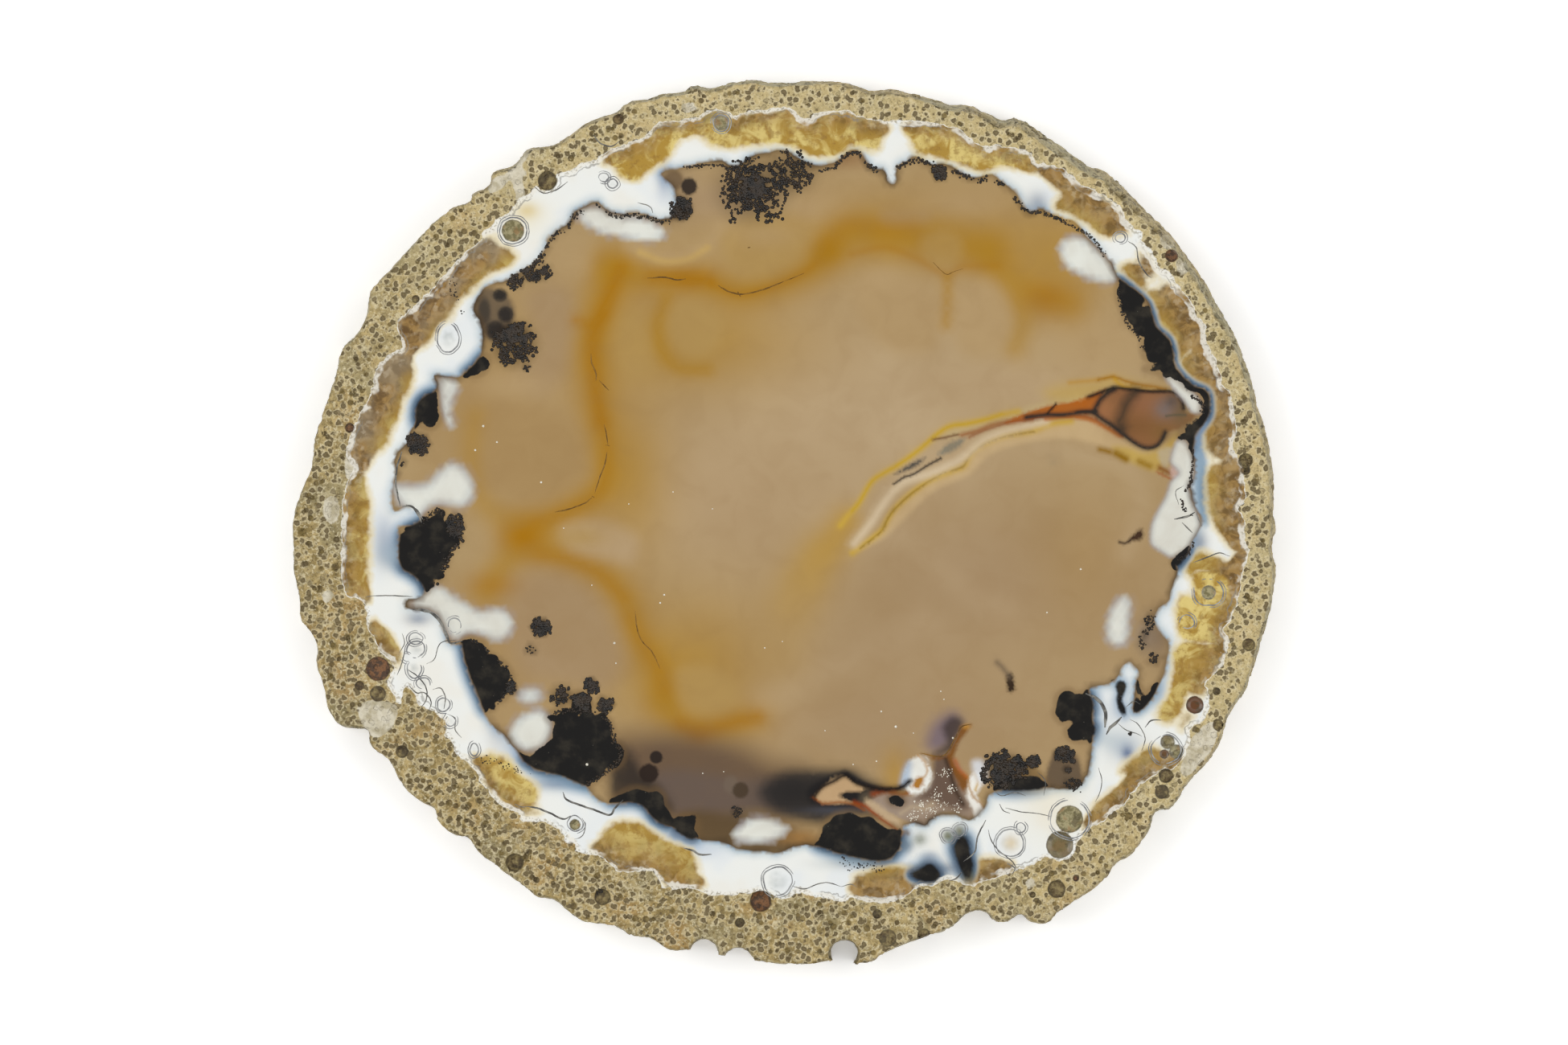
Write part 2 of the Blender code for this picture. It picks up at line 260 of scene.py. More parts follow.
# How smoky brown each gold band turns towards the rind, from 0 to 1; the others stay golden
SMOKY_BANDS = {
    "left_upper": 1.0, "left_mid": 1.0, "left_low": 0.3, "left_tip": 0.3, "top": 0.15, "top_right": 0.1, "right_a": 0.8,
    "right_b": 0.84, "right_c": 0.84, "right_d": 0.84, "right_e": 0.84, "right_f": 0.84, "right_g": 0.84, "right_h": 0.1,
    "right_i": 0.3, "right_j": 0.5, "bottom_a": 0.2, "bottom_b": 0.4, "bottom_c": 0.84, "bottom_d": 0.6,
}

# Black masses with round, even edges; the others are ragged
ROUND_MASSES = ("m3_knob", "m4", "m5", "m7", "m8", "m9")
# Black masses in the wall with no blue breath round them
CRISP_MASSES = ("leaf", "corner")

# Where frosty crystals stand thickest in the small cavity
DRUSE_FROST = ((1176, 962), (1182, 982), (1172, 1002), (1158, 1008), (1146, 1000), (1190, 1004), (1136, 1016), (1164, 990))

# How softly each cloud fades, in pixels; the others fade over CLOUD_FADE
CLOUD_FADE = 10
CLOUD_FADES = {"flame": 2, "ball": 7, "right_up": 5, "streak": 4, "wisp": 7, "left_low": 7, "left": 8, "lens": 5, "eye": 5,
               "bean": 6, "right": 7}

# Stains of the heart, laid one over another: kind, colour, strength, softness, then its places.
# A spot is x, y and its two radii; a trail follows a path and fades both ways; a pool fills a loop.
HEART_STAINS = (
    ("spot", CELL_MILK, 0.95, 0, (1090, 520, 230, 150)),
    ("spot", CELL_SAND, 0.85, 0, (910, 620, 130, 110)),
    ("spot", CELL_ROSE, 0.95, 0, (1230, 720, 230, 115)),
    ("spot", CELL_ROSE, 0.90, 0, (1100, 900, 230, 75)),
    ("spot", CELL_BROWN, 0.90, 0, (610, 520, 80, 110)),
    ("spot", CELL_BROWN, 0.90, 0, (650, 800, 110, 90)),
    ("spot", VEIN_OCHRE, 0.90, 0, (840, 425, 150, 62)),
    ("spot", VEIN_OCHRE, 0.75, 0, (785, 590, 48, 100)),
    ("spot", VEIN_OCHRE, 0.85, 0, (860, 830, 100, 85)),
    ("spot", VEIN_OCHRE, 0.80, 0, (1110, 290, 200, 50)),
    ("spot", CELL_ROSE, 0.85, 0, (890, 248, 120, 30)),
    ("spot", CELL_TAN, 0.85, 0, (1000, 258, 60, 22)),
    ("spot", CELL_TAN, 0.85, 0, (1200, 254, 70, 20)),
    ("spot", VEIN_OCHRE, 0.80, 0, (1310, 325, 70, 60)),
    ("spot", CELL_TAN, 0.80, 0, (1360, 430, 70, 50)),
    ("spot", CELL_BROWN, 0.70, 0, (1350, 690, 60, 90)),
    ("spot", CELL_SAND, 0.65, 0, (1260, 480, 110, 26)),
    ("trail", VEIN_GOLD, 0.85, 30, ((762, 335), (750, 380), (738, 430), (742, 490), (752, 560), (748, 605), (700, 640), (655, 662))),
    ("trail", VEIN_GOLD, 0.85, 26, ((762, 335), (800, 345), (870, 350), (930, 362), (1000, 338), (1030, 312), (1060, 288),
                                    (1120, 292), (1170, 300), (1230, 312))),
    ("trail", VEIN_GOLD, 0.80, 26, ((655, 670), (700, 696), (745, 715), (778, 748), (792, 790), (818, 830), (828, 870))),
    ("trail", VEIN_GOLD, 0.75, 22, ((828, 870), (850, 900), (890, 905), (940, 890))),
    ("trail", VEIN_GOLD, 0.75, 26, ((1230, 315), (1260, 350), (1290, 368), (1330, 378))),
    ("trail", VEIN_OCHRE, 0.80, 20, ((655, 670), (625, 705), (605, 735))),
    ("trail", VEIN_OCHRE, 0.70, 18, ((1260, 360), (1272, 395), (1262, 430))),
    ("trail", VEIN_OCHRE, 0.60, 18, ((592, 520), (588, 570), (598, 620), (640, 655))),
    ("pool", CELL_BROWN, 0.90, 18, ((612, 512), (650, 500), (700, 512), (722, 545), (732, 585), (708, 612), (660, 624),
                                   (618, 612), (602, 570))),
    ("pool", CELL_ROSE, 0.80, 16, ((655, 372), (690, 352), (712, 372), (712, 420), (700, 470), (668, 490), (640, 470),
                                  (668, 430))),
    ("spot", CELL_TAN, 0.90, 0, (640, 478, 48, 18)),
    ("pool", CELL_TAN, 0.55, 14, ((690, 300), (730, 306), (728, 340), (700, 356), (682, 330))),
    ("pool", CELL_HONEY, 0.90, 13, ((838, 380), (872, 376), (898, 396), (894, 430), (868, 446), (840, 436), (828, 408))),
    ("pool", CELL_HONEY, 0.70, 16, ((770, 396), (800, 388), (815, 420), (812, 462), (782, 470), (762, 436))),
    ("trail", VEIN_GOLD, 0.70, 10, ((828, 372), (818, 404), (824, 438), (846, 458), (880, 460))),
    ("trail", CELL_TAN, 0.90, 9, ((784, 304), (815, 318), (850, 318), (884, 302), (896, 284))),
    ("trail", "#C2A160", 0.80, 5, ((796, 314), (826, 325), (856, 322), (880, 308))),
    ("pool", CELL_HONEY, 0.95, 16, ((898, 298), (925, 278), (965, 268), (1000, 276), (1012, 298), (990, 326), (950, 344),
                                   (915, 338))),
    ("spot", CELL_TAN, 0.60, 0, (950, 292, 40, 16)),
    ("pool", CELL_ROSE, 0.85, 20, ((640, 722), (688, 708), (732, 728), (762, 772), (778, 822), (752, 858), (700, 850),
                                  (652, 838), (632, 786))),
    ("pool", CELL_TAN, 0.90, 14, ((1062, 350), (1098, 335), (1140, 350), (1166, 366), (1170, 402), (1160, 436), (1110, 436),
                                 (1072, 400))),
    ("pool", CELL_TAN, 0.90, 14, ((1188, 362), (1226, 350), (1252, 372), (1254, 416), (1230, 444), (1196, 436), (1184, 400))),
    ("pool", CELL_ROSE, 0.50, 12, ((1100, 262), (1150, 262), (1150, 276), (1104, 278))),
    ("pool", CELL_HONEY, 0.60, 9, ((1146, 300), (1170, 286), (1194, 296), (1196, 318), (1176, 332), (1154, 324))),
    ("pool", CELL_SAND, 0.90, 14, ((700, 656), (745, 650), (790, 668), (786, 700), (750, 694), (712, 684))),
    ("spot", CELL_HONEY, 0.80, 0, (720, 668, 34, 14)),
    ("pool", CELL_HONEY, 0.80, 12, ((842, 834), (880, 828), (912, 846), (916, 874), (884, 888), (848, 878))),
    ("trail", CELL_MILK, 0.40, 22, ((1150, 776), (1085, 808), (1020, 838), (950, 872))),
    ("trail", CELL_MILK, 0.25, 16, ((1112, 660), (1160, 700), (1200, 735), (1250, 760))),
    ("trail", CELL_MILK, 0.30, 12, ((1290, 560), (1390, 575), (1420, 620), (1400, 690))),
    ("trail", "#B28A35", 0.75, 22, ((1052, 650), (1034, 676), (1014, 702), (1004, 722))),
    ("trail", "#B28E48", 0.65, 30, ((1020, 690), (1002, 722), (988, 752))),
    ("trail", "#B3935A", 0.50, 34, ((1000, 730), (986, 768), (976, 812))),
    ("trail", VEIN_AMBER, 0.80, 11, ((772, 335), (758, 368), (748, 392), (738, 420), (738, 455), (742, 490), (748, 525))),
    ("trail", VEIN_AMBER, 0.45, 9, ((748, 525), (756, 560), (752, 596), (740, 618), (700, 638), (665, 652))),
    ("trail", VEIN_AMBER, 0.55, 8, ((716, 398), (736, 404), (750, 392))),
    ("spot", VEIN_AMBER, 0.95, 0, (652, 668, 26, 22)),
    ("spot", VEIN_AMBER, 0.55, 0, (614, 728, 32, 16)),
    ("trail", VEIN_AMBER, 0.45, 10, ((672, 690), (704, 696), (744, 712), (776, 744))),
    ("trail", VEIN_AMBER, 0.40, 11, ((784, 766), (800, 802), (818, 832), (826, 858))),
    ("trail", VEIN_AMBER, 0.65, 10, ((846, 902), (874, 910), (908, 900), (942, 892))),
    ("spot", VEIN_AMBER, 0.75, 0, (868, 916, 15, 14)),
    ("trail", VEIN_AMBER, 0.70, 9, ((810, 345), (850, 346), (882, 348))),
    ("spot", VEIN_AMBER, 0.90, 0, (856, 347, 24, 11)),
    ("trail", VEIN_AMBER, 0.55, 6, ((886, 354), (920, 366), (960, 357), (1000, 339), (1020, 322))),
    ("spot", "#A67608", 1.0, 0, (1028, 313, 20, 18)),
    ("trail", VEIN_AMBER, 0.30, 12, ((1032, 300), (1056, 280), (1092, 284), (1134, 284))),
    ("trail", VEIN_AMBER, 0.40, 6, ((1060, 316), (1100, 308), (1136, 320), (1176, 341), (1198, 332), (1240, 330))),
    ("trail", VEIN_GOLD, 0.60, 8, ((1178, 346), (1178, 376), (1176, 404))),
    ("spot", VEIN_AMBER, 0.70, 0, (1302, 371, 30, 20)),
    ("spot", "#8E8273", 0.35, 0, (835, 222, 22, 14)),
    # Dark stain under the dendrite at the top edge: its own dark colour, and painted shadow of its grains
    ("spot", "#4A4238", 0.60, 0, (838, 256, 16, 18)),
    ("spot", "#8E6A44", 0.75, 0, (1050, 197, 40, 14)),
    ("spot", "#77706E", 0.60, 0, (1424, 790, 13, 20)),
    ("pool", "#55473A", 0.88, 4, ((1301, 978), (1303, 954), (1311, 938), (1324, 932), (1337, 937), (1344, 952), (1345, 974),
                                  (1328, 980))),
    ("pool", "#7B6138", 0.70, 4, ((1240, 968), (1244, 950), (1262, 942), (1284, 950), (1298, 966), (1290, 980), (1252, 982))),
    ("pool", "#5B4F42", 0.85, 5, ((590, 368), (602, 358), (622, 362), (636, 374), (640, 392), (634, 410), (622, 424),
                                  (606, 422), (594, 404), (588, 386))),
    ("pool", "#655140", 0.96, 26, ((766, 922), (800, 912), (860, 912), (920, 926), (960, 946), (1000, 956), (1010, 985),
                                  (985, 1020), (920, 1040), (850, 1036), (800, 1015), (765, 980))),
    ("pool", "#64564E", 0.80, 12, ((812, 968), (850, 958), (900, 966), (960, 972), (986, 990), (960, 1004), (900, 1010),
                                  (840, 1012))),
    ("pool", "#322B26", 0.92, 10, ((764, 926), (784, 936), (800, 962), (822, 980), (836, 1006), (820, 1012), (790, 996),
                                  (760, 990))),
    ("pool", "#5C4930", 0.92, 9, ((842, 1016), (870, 1008), (905, 1014), (960, 1022), (1000, 1035), (1018, 1050),
                                 (960, 1062), (900, 1052), (850, 1044))),
    ("spot", "#A57A44", 0.80, 0, (995, 1042, 26, 9)),
    ("spot", "#7E6A4A", 0.60, 0, (940, 1012, 24, 6)),
    ("pool", "#2E2B2A", 0.95, 11, ((946, 985), (968, 964), (1000, 958), (1040, 956), (1062, 958), (1078, 968), (1100, 976),
                                  (1128, 984), (1100, 990), (1078, 1004), (1090, 1016), (1050, 1014), (1020, 1026),
                                  (985, 1018), (960, 1006))),
    ("spot", "#262423", 0.85, 0, (990, 985, 42, 20)),
    ("spot", "#262423", 0.80, 0, (1040, 1000, 40, 10)),
    ("pool", "#1C1B1C", 0.90, 5, ((1004, 984), (1016, 972), (1034, 964), (1052, 958), (1066, 968), (1082, 976), (1098, 980),
                                 (1080, 988), (1060, 1000), (1072, 1010), (1050, 1008), (1026, 1004), (1008, 998))),
    ("spot", "#4C4E57", 0.60, 0, (1040, 1008, 40, 5)),
    ("pool", "#5F5443", 0.60, 5, ((1072, 986), (1090, 984), (1104, 988), (1092, 996), (1078, 1004), (1070, 998))),
    ("spot", "#B08838", 0.70, 0, (1112, 962, 16, 30)),
    ("spot", "#292624", 0.95, 0.3, (622, 367, 9, 8)),
    ("spot", "#292624", 0.95, 0.3, (629, 391, 10, 10)),
    ("spot", "#292624", 0.95, 0.3, (616, 411, 12, 12)),
    ("spot", "#34302B", 0.80, 0.4, (602, 388, 8, 18)),
    ("spot", "#5A4734", 0.75, 0.3, (838, 224, 12, 12)),
    ("spot", "#2A2320", 0.95, 0.15, (857, 232, 10, 11)),
    ("spot", "#2A2420", 0.90, 0.3, (847, 259, 13, 14)),
    ("spot", "#A48A68", 0.50, 0, (1100, 800, 120, 60)),
)
DRUSE_STAINS = (
    ("pool", "#9A8878", 0.97, 2.5, ((1080, 1000), (1092, 990), (1108, 986), (1128, 990), (1150, 984), (1160, 968), (1163, 948),
                                    (1178, 940), (1192, 950), (1200, 968), (1203, 990), (1212, 1008), (1206, 1018),
                                    (1194, 1014), (1180, 1010), (1168, 1013), (1158, 1023), (1146, 1027), (1130, 1023),
                                    (1114, 1016), (1098, 1008))),
    ("pool", "#5E4A3E", 0.90, 7, ((1162, 942), (1176, 938), (1184, 948), (1190, 970), (1198, 990), (1204, 1006), (1190, 1008),
                                  (1172, 1002), (1158, 996), (1140, 994), (1156, 976))),
    ("pool", "#6E6272", 0.85, 12, ((1152, 925), (1158, 905), (1170, 892), (1186, 886), (1196, 898), (1190, 915), (1178, 930),
                                   (1162, 934))),
    ("pool", "#3E322B", 0.85, 7, ((1172, 905), (1182, 892), (1194, 893), (1199, 903), (1190, 918), (1184, 934), (1170, 938),
                                  (1160, 938), (1176, 924))),
    ("pool", "#7A4A14", 0.95, 3, ((1150, 938), (1170, 942), (1180, 936), (1188, 921), (1196, 905), (1208, 901), (1203, 910),
                                  (1194, 921), (1188, 935), (1186, 946), (1192, 957), (1201, 965), (1206, 972), (1198, 984),
                                  (1190, 972), (1182, 956), (1176, 944), (1160, 945))),
    ("trail", "#3A2A1C", 0.80, 3, ((1176, 944), (1182, 962), (1188, 982), (1198, 1000))),
    ("trail", "#B0570F", 0.70, 3, ((1188, 946), (1194, 958), (1203, 967))),
    ("spot", "#C08A3A", 0.90, 0, (1202, 904, 5, 3)),
    ("trail", "#8A3A12", 0.80, 4, ((1086, 988), (1098, 984), (1112, 985))),
    ("trail", "#8A4A14", 0.80, 3, ((1108, 986), (1122, 988), (1138, 984))),
    ("pool", "#BFA684", 0.90, 3, ((1078, 994), (1092, 1000), (1104, 1010), (1118, 1020), (1125, 1032), (1118, 1030),
                                  (1102, 1020), (1088, 1012), (1076, 1002))),
    ("trail", "#8C3D14", 0.90, 2.5, ((1062, 998), (1076, 1003), (1086, 1011), (1096, 1019), (1108, 1027), (1119, 1036))),
    ("pool", "#F0F1EA", 0.95, 2.5, ((1122, 976), (1124, 962), (1130, 948), (1142, 941), (1152, 942), (1158, 954), (1160, 966),
                                    (1156, 978), (1146, 986), (1134, 988), (1128, 982))),
    ("pool", "#9CB4CE", 0.80, 6, ((1120, 978), (1122, 962), (1129, 948), (1134, 950), (1132, 964), (1130, 976))),
    ("trail", "#B88A50", 0.70, 1.5, ((1142, 940), (1150, 948), (1153, 958), (1150, 966), (1140, 970))),
    ("trail", "#8A6A40", 0.70, 1.2, ((1146, 938), (1156, 950), (1160, 962), (1156, 976), (1148, 984))),
    ("pool", "#A96F12", 0.97, 1.5, ((1133, 979), (1137, 972), (1143, 967), (1149, 969), (1148, 976), (1142, 981))),
    ("pool", "#141214", 0.97, 2.5, ((1105, 993), (1112, 990), (1122, 992), (1124, 998), (1117, 1001), (1108, 1000))),
    ("trail", "#1A1A1E", 0.97, 3.2, ((1050, 962), (1062, 970), (1078, 977), (1094, 981), (1110, 981), (1122, 979), (1130, 972))),
    ("trail", "#8A4A1C", 0.80, 1.6, ((1011, 992), (1024, 999), (1045, 998), (1060, 1000), (1075, 1008))),
    ("trail", "#B8A486", 0.55, 3, ((1120, 1012), (1134, 1004), (1150, 1006), (1160, 1000))),
    ("pool", "#F3F2EA", 0.95, 2.5, ((1206, 966), (1214, 960), (1220, 964), (1220, 978), (1214, 988), (1217, 996), (1223, 1004),
                                    (1221, 1016), (1212, 1018), (1210, 1006), (1203, 992), (1204, 978))),
    ("trail", "#A87A3A", 0.75, 1.3, ((1204, 966), (1206, 980), (1211, 992), (1221, 1001), (1224, 1010), (1218, 1020), (1211, 1030))),
    ("trail", "#C59A34", 0.75, 2, ((1212, 962), (1216, 972), (1213, 983))),
    ("pool", "#E4EAF0", 0.85, 6, ((1209, 948), (1220, 946), (1226, 956), (1225, 972), (1218, 974), (1212, 966))),
    ("trail", "#1D1612", 0.95, 2.8, ((1013, 991), (1022, 980), (1037, 972), (1052, 965), (1066, 975), (1085, 980),
                                     (1104, 982), (1119, 980), (1133, 971))),
    ("spot", "#2A221E", 0.97, 0.12, (816, 942, 8, 8)),
    ("spot", "#2B211C", 0.97, 0.12, (807, 962, 12, 12)),
    ("spot", "#6F6357", 0.50, 0.3, (909, 976, 9, 11)),
    ("spot", "#463829", 0.90, 0.2, (921, 983, 10, 10)),
)
TUBE_STAINS = (
    ("pool", "#BEA878", 0.70, 6, ((1180, 533), (1220, 524), (1260, 512), (1300, 500), (1340, 488), (1340, 500), (1300, 508),
                                  (1262, 520), (1220, 534), (1180, 545))),
    ("pool", "#BC9C50", 0.65, 12, ((1300, 486), (1330, 476), (1365, 473), (1386, 468), (1420, 478), (1452, 485), (1440, 488),
                                  (1410, 485), (1384, 483), (1362, 492), (1340, 500), (1310, 498))),
    ("pool", "#C8AC80", 0.80, 5, ((1060, 686), (1100, 655), (1120, 622), (1160, 594), (1200, 575), (1216, 556), (1260, 537),
                                  (1310, 524), (1350, 522), (1380, 534), (1420, 560), (1446, 548), (1452, 560), (1440, 584),
                                  (1400, 566), (1360, 552), (1320, 545), (1270, 552), (1230, 566), (1206, 590), (1160, 612),
                                  (1120, 650), (1095, 672))),
    ("pool", "#C1A24E", 0.85, 6, ((1384, 556), (1402, 556), (1422, 563), (1442, 558), (1456, 545), (1464, 540), (1462, 556),
                                  (1452, 568), (1450, 584), (1436, 586), (1414, 578), (1392, 568))),
    ("pool", "#BDAE8E", 0.90, 3, ((1440, 562), (1452, 556), (1460, 560), (1454, 574), (1450, 584), (1444, 578))),
    ("trail", "#C4A040", 0.90, 4.5, ((1045, 654), (1055, 641), (1068, 626), (1084, 600), (1100, 588), (1118, 578), (1150, 554),
                                   (1165, 541), (1182, 530), (1200, 527), (1225, 522), (1246, 516), (1266, 512))),
    ("trail", "#BE9A2C", 0.80, 2.2, ((1060, 636), (1070, 622), (1084, 599), (1100, 588), (1135, 566), (1165, 540),
                                     (1182, 530), (1205, 527), (1228, 521), (1248, 514))),
    ("trail", "#B5862A", 0.60, 3, ((1330, 476), (1360, 473), (1376, 470), (1385, 468))),
    ("spot", "#6E5F55", 0.65, 0, (1440, 795, 14, 30)),
    ("trail", "#9A6A14", 0.85, 2.2, ((1366, 473), (1385, 469), (1400, 474), (1416, 478), (1436, 481), (1450, 484))),
    ("trail", "#B98C1E", 0.75, 3, ((1386, 472), (1396, 480), (1414, 484), (1436, 487))),
    ("trail", "#C29E3C", 0.90, 4.5, ((1060, 688), (1076, 676), (1096, 660), (1104, 646), (1114, 632), (1136, 612), (1156, 598),
                                   (1184, 586), (1198, 580), (1206, 568), (1218, 556), (1246, 543), (1284, 536), (1310, 527),
                                   (1332, 524))),
    ("trail", "#8E7020", 0.80, 1.3, ((1070, 682), (1096, 661), (1104, 645), (1116, 630), (1138, 611), (1170, 590), (1196, 581),
                                     (1205, 568), (1218, 556), (1246, 544), (1285, 537))),
    ("trail", "#D2BE9E", 0.85, 6, ((1062, 676), (1082, 652), (1098, 628), (1112, 610), (1128, 598), (1160, 588), (1196, 570),
                                   (1225, 547), (1262, 533), (1300, 524))),
    ("pool", "#4E4A44", 0.95, 1.8, ((1113, 590), (1126, 580), (1142, 572), (1151, 569), (1143, 578), (1130, 585))),
    ("trail", "#3A322B", 0.95, 1.6, ((1112, 602), (1124, 594), (1136, 590), (1152, 580), (1170, 570))),
    ("pool", "#7E7A6A", 0.90, 2.5, ((1166, 566), (1174, 556), (1185, 549), (1200, 545), (1194, 555), (1182, 563))),
    ("trail", "#6E4E32", 0.90, 1.6, ((1160, 547), (1176, 544), (1190, 541))),
    ("trail", "#96613A", 0.90, 3.2, ((1196, 541), (1216, 536), (1236, 528), (1262, 524), (1284, 522))),
    ("trail", "#8A5230", 0.70, 1.6, ((1205, 544), (1226, 535), (1250, 527), (1272, 518))),
    ("pool", "#AA5A12", 0.97, 1.8, ((1252, 525), (1268, 517), (1282, 512), (1300, 506), (1313, 503), (1330, 501), (1346, 496),
                                    (1362, 489), (1376, 484), (1368, 496), (1360, 512), (1362, 518), (1340, 515),
                                    (1300, 516), (1276, 520))),
    ("trail", "#93481A", 0.90, 2.4, ((1252, 526), (1280, 521), (1310, 518), (1340, 518), (1358, 521), (1376, 531), (1396, 543))),
    ("trail", "#B06018", 0.75, 2.2, ((1300, 522), (1330, 519), (1352, 522), (1372, 531), (1392, 543))),
    ("pool", "#875A38", 0.97, 2, ((1361, 512), (1366, 500), (1376, 490), (1386, 483), (1410, 484), (1440, 486), (1457, 487),
                                  (1470, 498), (1474, 512), (1486, 516), (1482, 524), (1466, 534), (1451, 538), (1446, 549),
                                  (1436, 557), (1424, 558), (1410, 551), (1394, 539), (1378, 527), (1366, 518))),
    ("spot", "#7A5330", 0.85, 0, (1415, 530, 30, 14)),
    ("spot", "#8F6044", 0.80, 0, (1424, 500, 20, 13)),
    ("spot", "#9C6844", 0.90, 0, (1374, 510, 12, 14)),
    ("spot", "#6B573C", 0.90, 0, (1468, 512, 14, 24)),
    ("spot", "#756A68", 0.90, 0, (1448, 509, 13, 13)),
    ("spot", "#544C48", 0.80, 0, (1457, 499, 9, 9)),
    ("spot", "#7C5A31", 0.80, 0, (1444, 538, 14, 12)),
    ("trail", "#453729", 0.90, 8, ((1412, 488), (1404, 496), (1398, 508), (1393, 522), (1396, 532))),
    ("trail", "#2A2522", 0.97, 4, ((1386, 484), (1376, 490), (1367, 499), (1361, 511))),
    ("trail", "#1F1B18", 0.97, 2.6, ((1353, 494), (1364, 490), (1376, 485), (1387, 482), (1402, 484), (1430, 487), (1456, 487),
                                     (1465, 492), (1470, 499), (1472, 508))),
    ("trail", "#2A2724", 0.97, 3.6, ((1276, 519), (1300, 516), (1322, 516), (1344, 513), (1360, 514), (1370, 521), (1384, 530),
                                     (1398, 541), (1411, 551), (1424, 557), (1436, 556), (1444, 549), (1449, 538))),
    ("trail", "#2A2724", 0.80, 2.2, ((1340, 512), (1352, 511), (1364, 512))),
    ("trail", "#241C16", 0.95, 1.6, ((1303, 514), (1308, 508), (1313, 503))),
    ("trail", "#55503E", 0.80, 1.5, ((1450, 518), (1462, 516), (1474, 516))),
    ("trail", "#8C6614", 0.95, 4, ((1368, 559), (1380, 562))),
    ("trail", "#8A6508", 1.0, 5, ((1388, 564), (1400, 571))),
    ("trail", "#947119", 0.90, 4.5, ((1417, 574), (1430, 580))),
    ("trail", "#7E4A1C", 0.90, 4, ((1442, 582), (1456, 589))),
    ("pool", "#C9A99E", 0.90, 2, ((1456, 580), (1464, 580), (1468, 588), (1462, 597), (1456, 592))),
    ("trail", "#A0603A", 0.85, 1.4, ((1438, 587), (1450, 593), (1463, 599))),
    ("spot", "#9C8868", 0.50, 0, (1310, 573, 7, 7)),
    ("pool", "#3A2519", 0.97, 1.6, ((1402, 674), (1410, 664), (1420, 658), (1421, 670), (1413, 672))),
    ("trail", "#3A2A20", 0.90, 1.8, ((1392, 674), (1399, 676), (1406, 672))),
    ("pool", "#2C1E14", 0.97, 1.6, ((1251, 841), (1259, 838), (1262, 858), (1254, 860))),
    ("trail", "#6A5A48", 0.70, 4, ((1240, 824), (1248, 832), (1255, 842))),
)

# Stains of the wall: blue-grey breaths, olive discs and the straw colour beside the gold
WALL_STAINS = (
    ("spot", "#E9DFC0", 0.60, 0, (650, 270, 34, 24)),
    ("spot", "#DCC9A4", 0.80, 0, (1257, 1049, 9, 9)),
    ("spot", "#7D97AD", 0.60, 0, (1442, 858, 12, 26)),
    ("spot", "#7D97AD", 0.50, 0, (1452, 818, 8, 22)),
    ("spot", "#85A2B2", 0.60, 0, (705, 974, 40, 10)),
    ("spot", "#8F9EA5", 0.60, 0, (1060, 1074, 40, 8)),
    ("spot", "#D9C48C", 0.80, 0, (656, 262, 14, 10)),
    ("spot", "#E6DCC0", 0.50, 0, (1310, 1000, 40, 40)),
    ("spot", "#4F5E74", 0.70, 0, (492, 690, 20, 16)),
    ("spot", "#8393AA", 0.60, 0, (478, 672, 14, 30)),
    ("spot", "#6D7C92", 0.70, 0, (520, 770, 16, 8)),
    ("spot", "#A9B6C6", 0.60, 0, (560, 640, 14, 10)),
    ("spot", "#A3B0BC", 0.75, 0, (1398, 928, 22, 18)),
    ("spot", "#A9BAC4", 0.60, 0, (486, 690, 14, 16)),
    ("spot", "#53668A", 0.85, 0, (1402, 937, 8, 9)),
    ("spot", "#B7C2C6", 0.60, 0, (1378, 920, 14, 12)),
    ("pool", "#7F9BB0", 0.85, 5, ((1484, 520), (1494, 516), (1502, 540), (1501, 570), (1506, 600), (1506, 640), (1500, 655),
                                  (1490, 640), (1484, 600), (1488, 560))),
    ("spot", "#4C6277", 0.80, 0, (1493, 532, 6, 16)),
    ("spot", "#5A7288", 0.70, 0, (1497, 612, 6, 26)),
    ("spot", "#5F7088", 0.70, 0, (1492, 675, 10, 14)),
    ("spot", "#8093AC", 0.70, 0, (1494, 540, 10, 26)),
    ("spot", "#7A8698", 0.65, 0, (1290, 252, 14, 14)),
    ("spot", "#8D9AA8", 0.55, 0, (1281, 262, 12, 8)),
    ("spot", "#7D8CA0", 0.60, 0, (840, 1040, 14, 8)),
    ("spot", "#B5C2D2", 0.55, 0, (870, 1058, 30, 10)),
    ("spot", "#97A5B8", 0.60, 0, (620, 905, 14, 24)),
    ("spot", "#A6B3C4", 0.55, 0, (640, 935, 18, 14)),
    ("spot", "#77879F", 0.60, 0, (690, 975, 30, 8)),
    ("spot", "#8A9AB2", 0.70, 0, (826, 222, 10, 24)),
    ("spot", "#A6B3C4", 0.45, 0, (1390, 885, 20, 18)),
    ("spot", "#7E8A80", 0.85, 0, (1179, 1040, 7, 7)),
    ("spot", "#6F6C4C", 0.80, 0, (1179, 1040, 6, 6)),
    ("spot", "#77714E", 0.85, 0, (1193, 1033, 7, 7)),
    ("spot", "#6A7A88", 0.85, 0, (1127, 1052, 9, 9)),
    ("spot", "#7B806F", 0.80, 0, (1144, 1044, 9, 8)),
    ("spot", "#6E5A48", 0.90, 0, (1128, 1036, 4, 4)),
    ("spot", "#8C96A4", 0.60, 0, (1156, 1066, 12, 7)),
    ("spot", "#5A6678", 0.60, 0, (1180, 1080, 14, 8)),
    ("spot", "#4E5A4A", 0.70, 0, (1206, 1092, 8, 10)),
    ("spot", "#8A6A28", 0.60, 0, (1108, 1080, 24, 6)),
    ("spot", "#8A7040", 0.60, 0, (1206, 1100, 12, 10)),
)

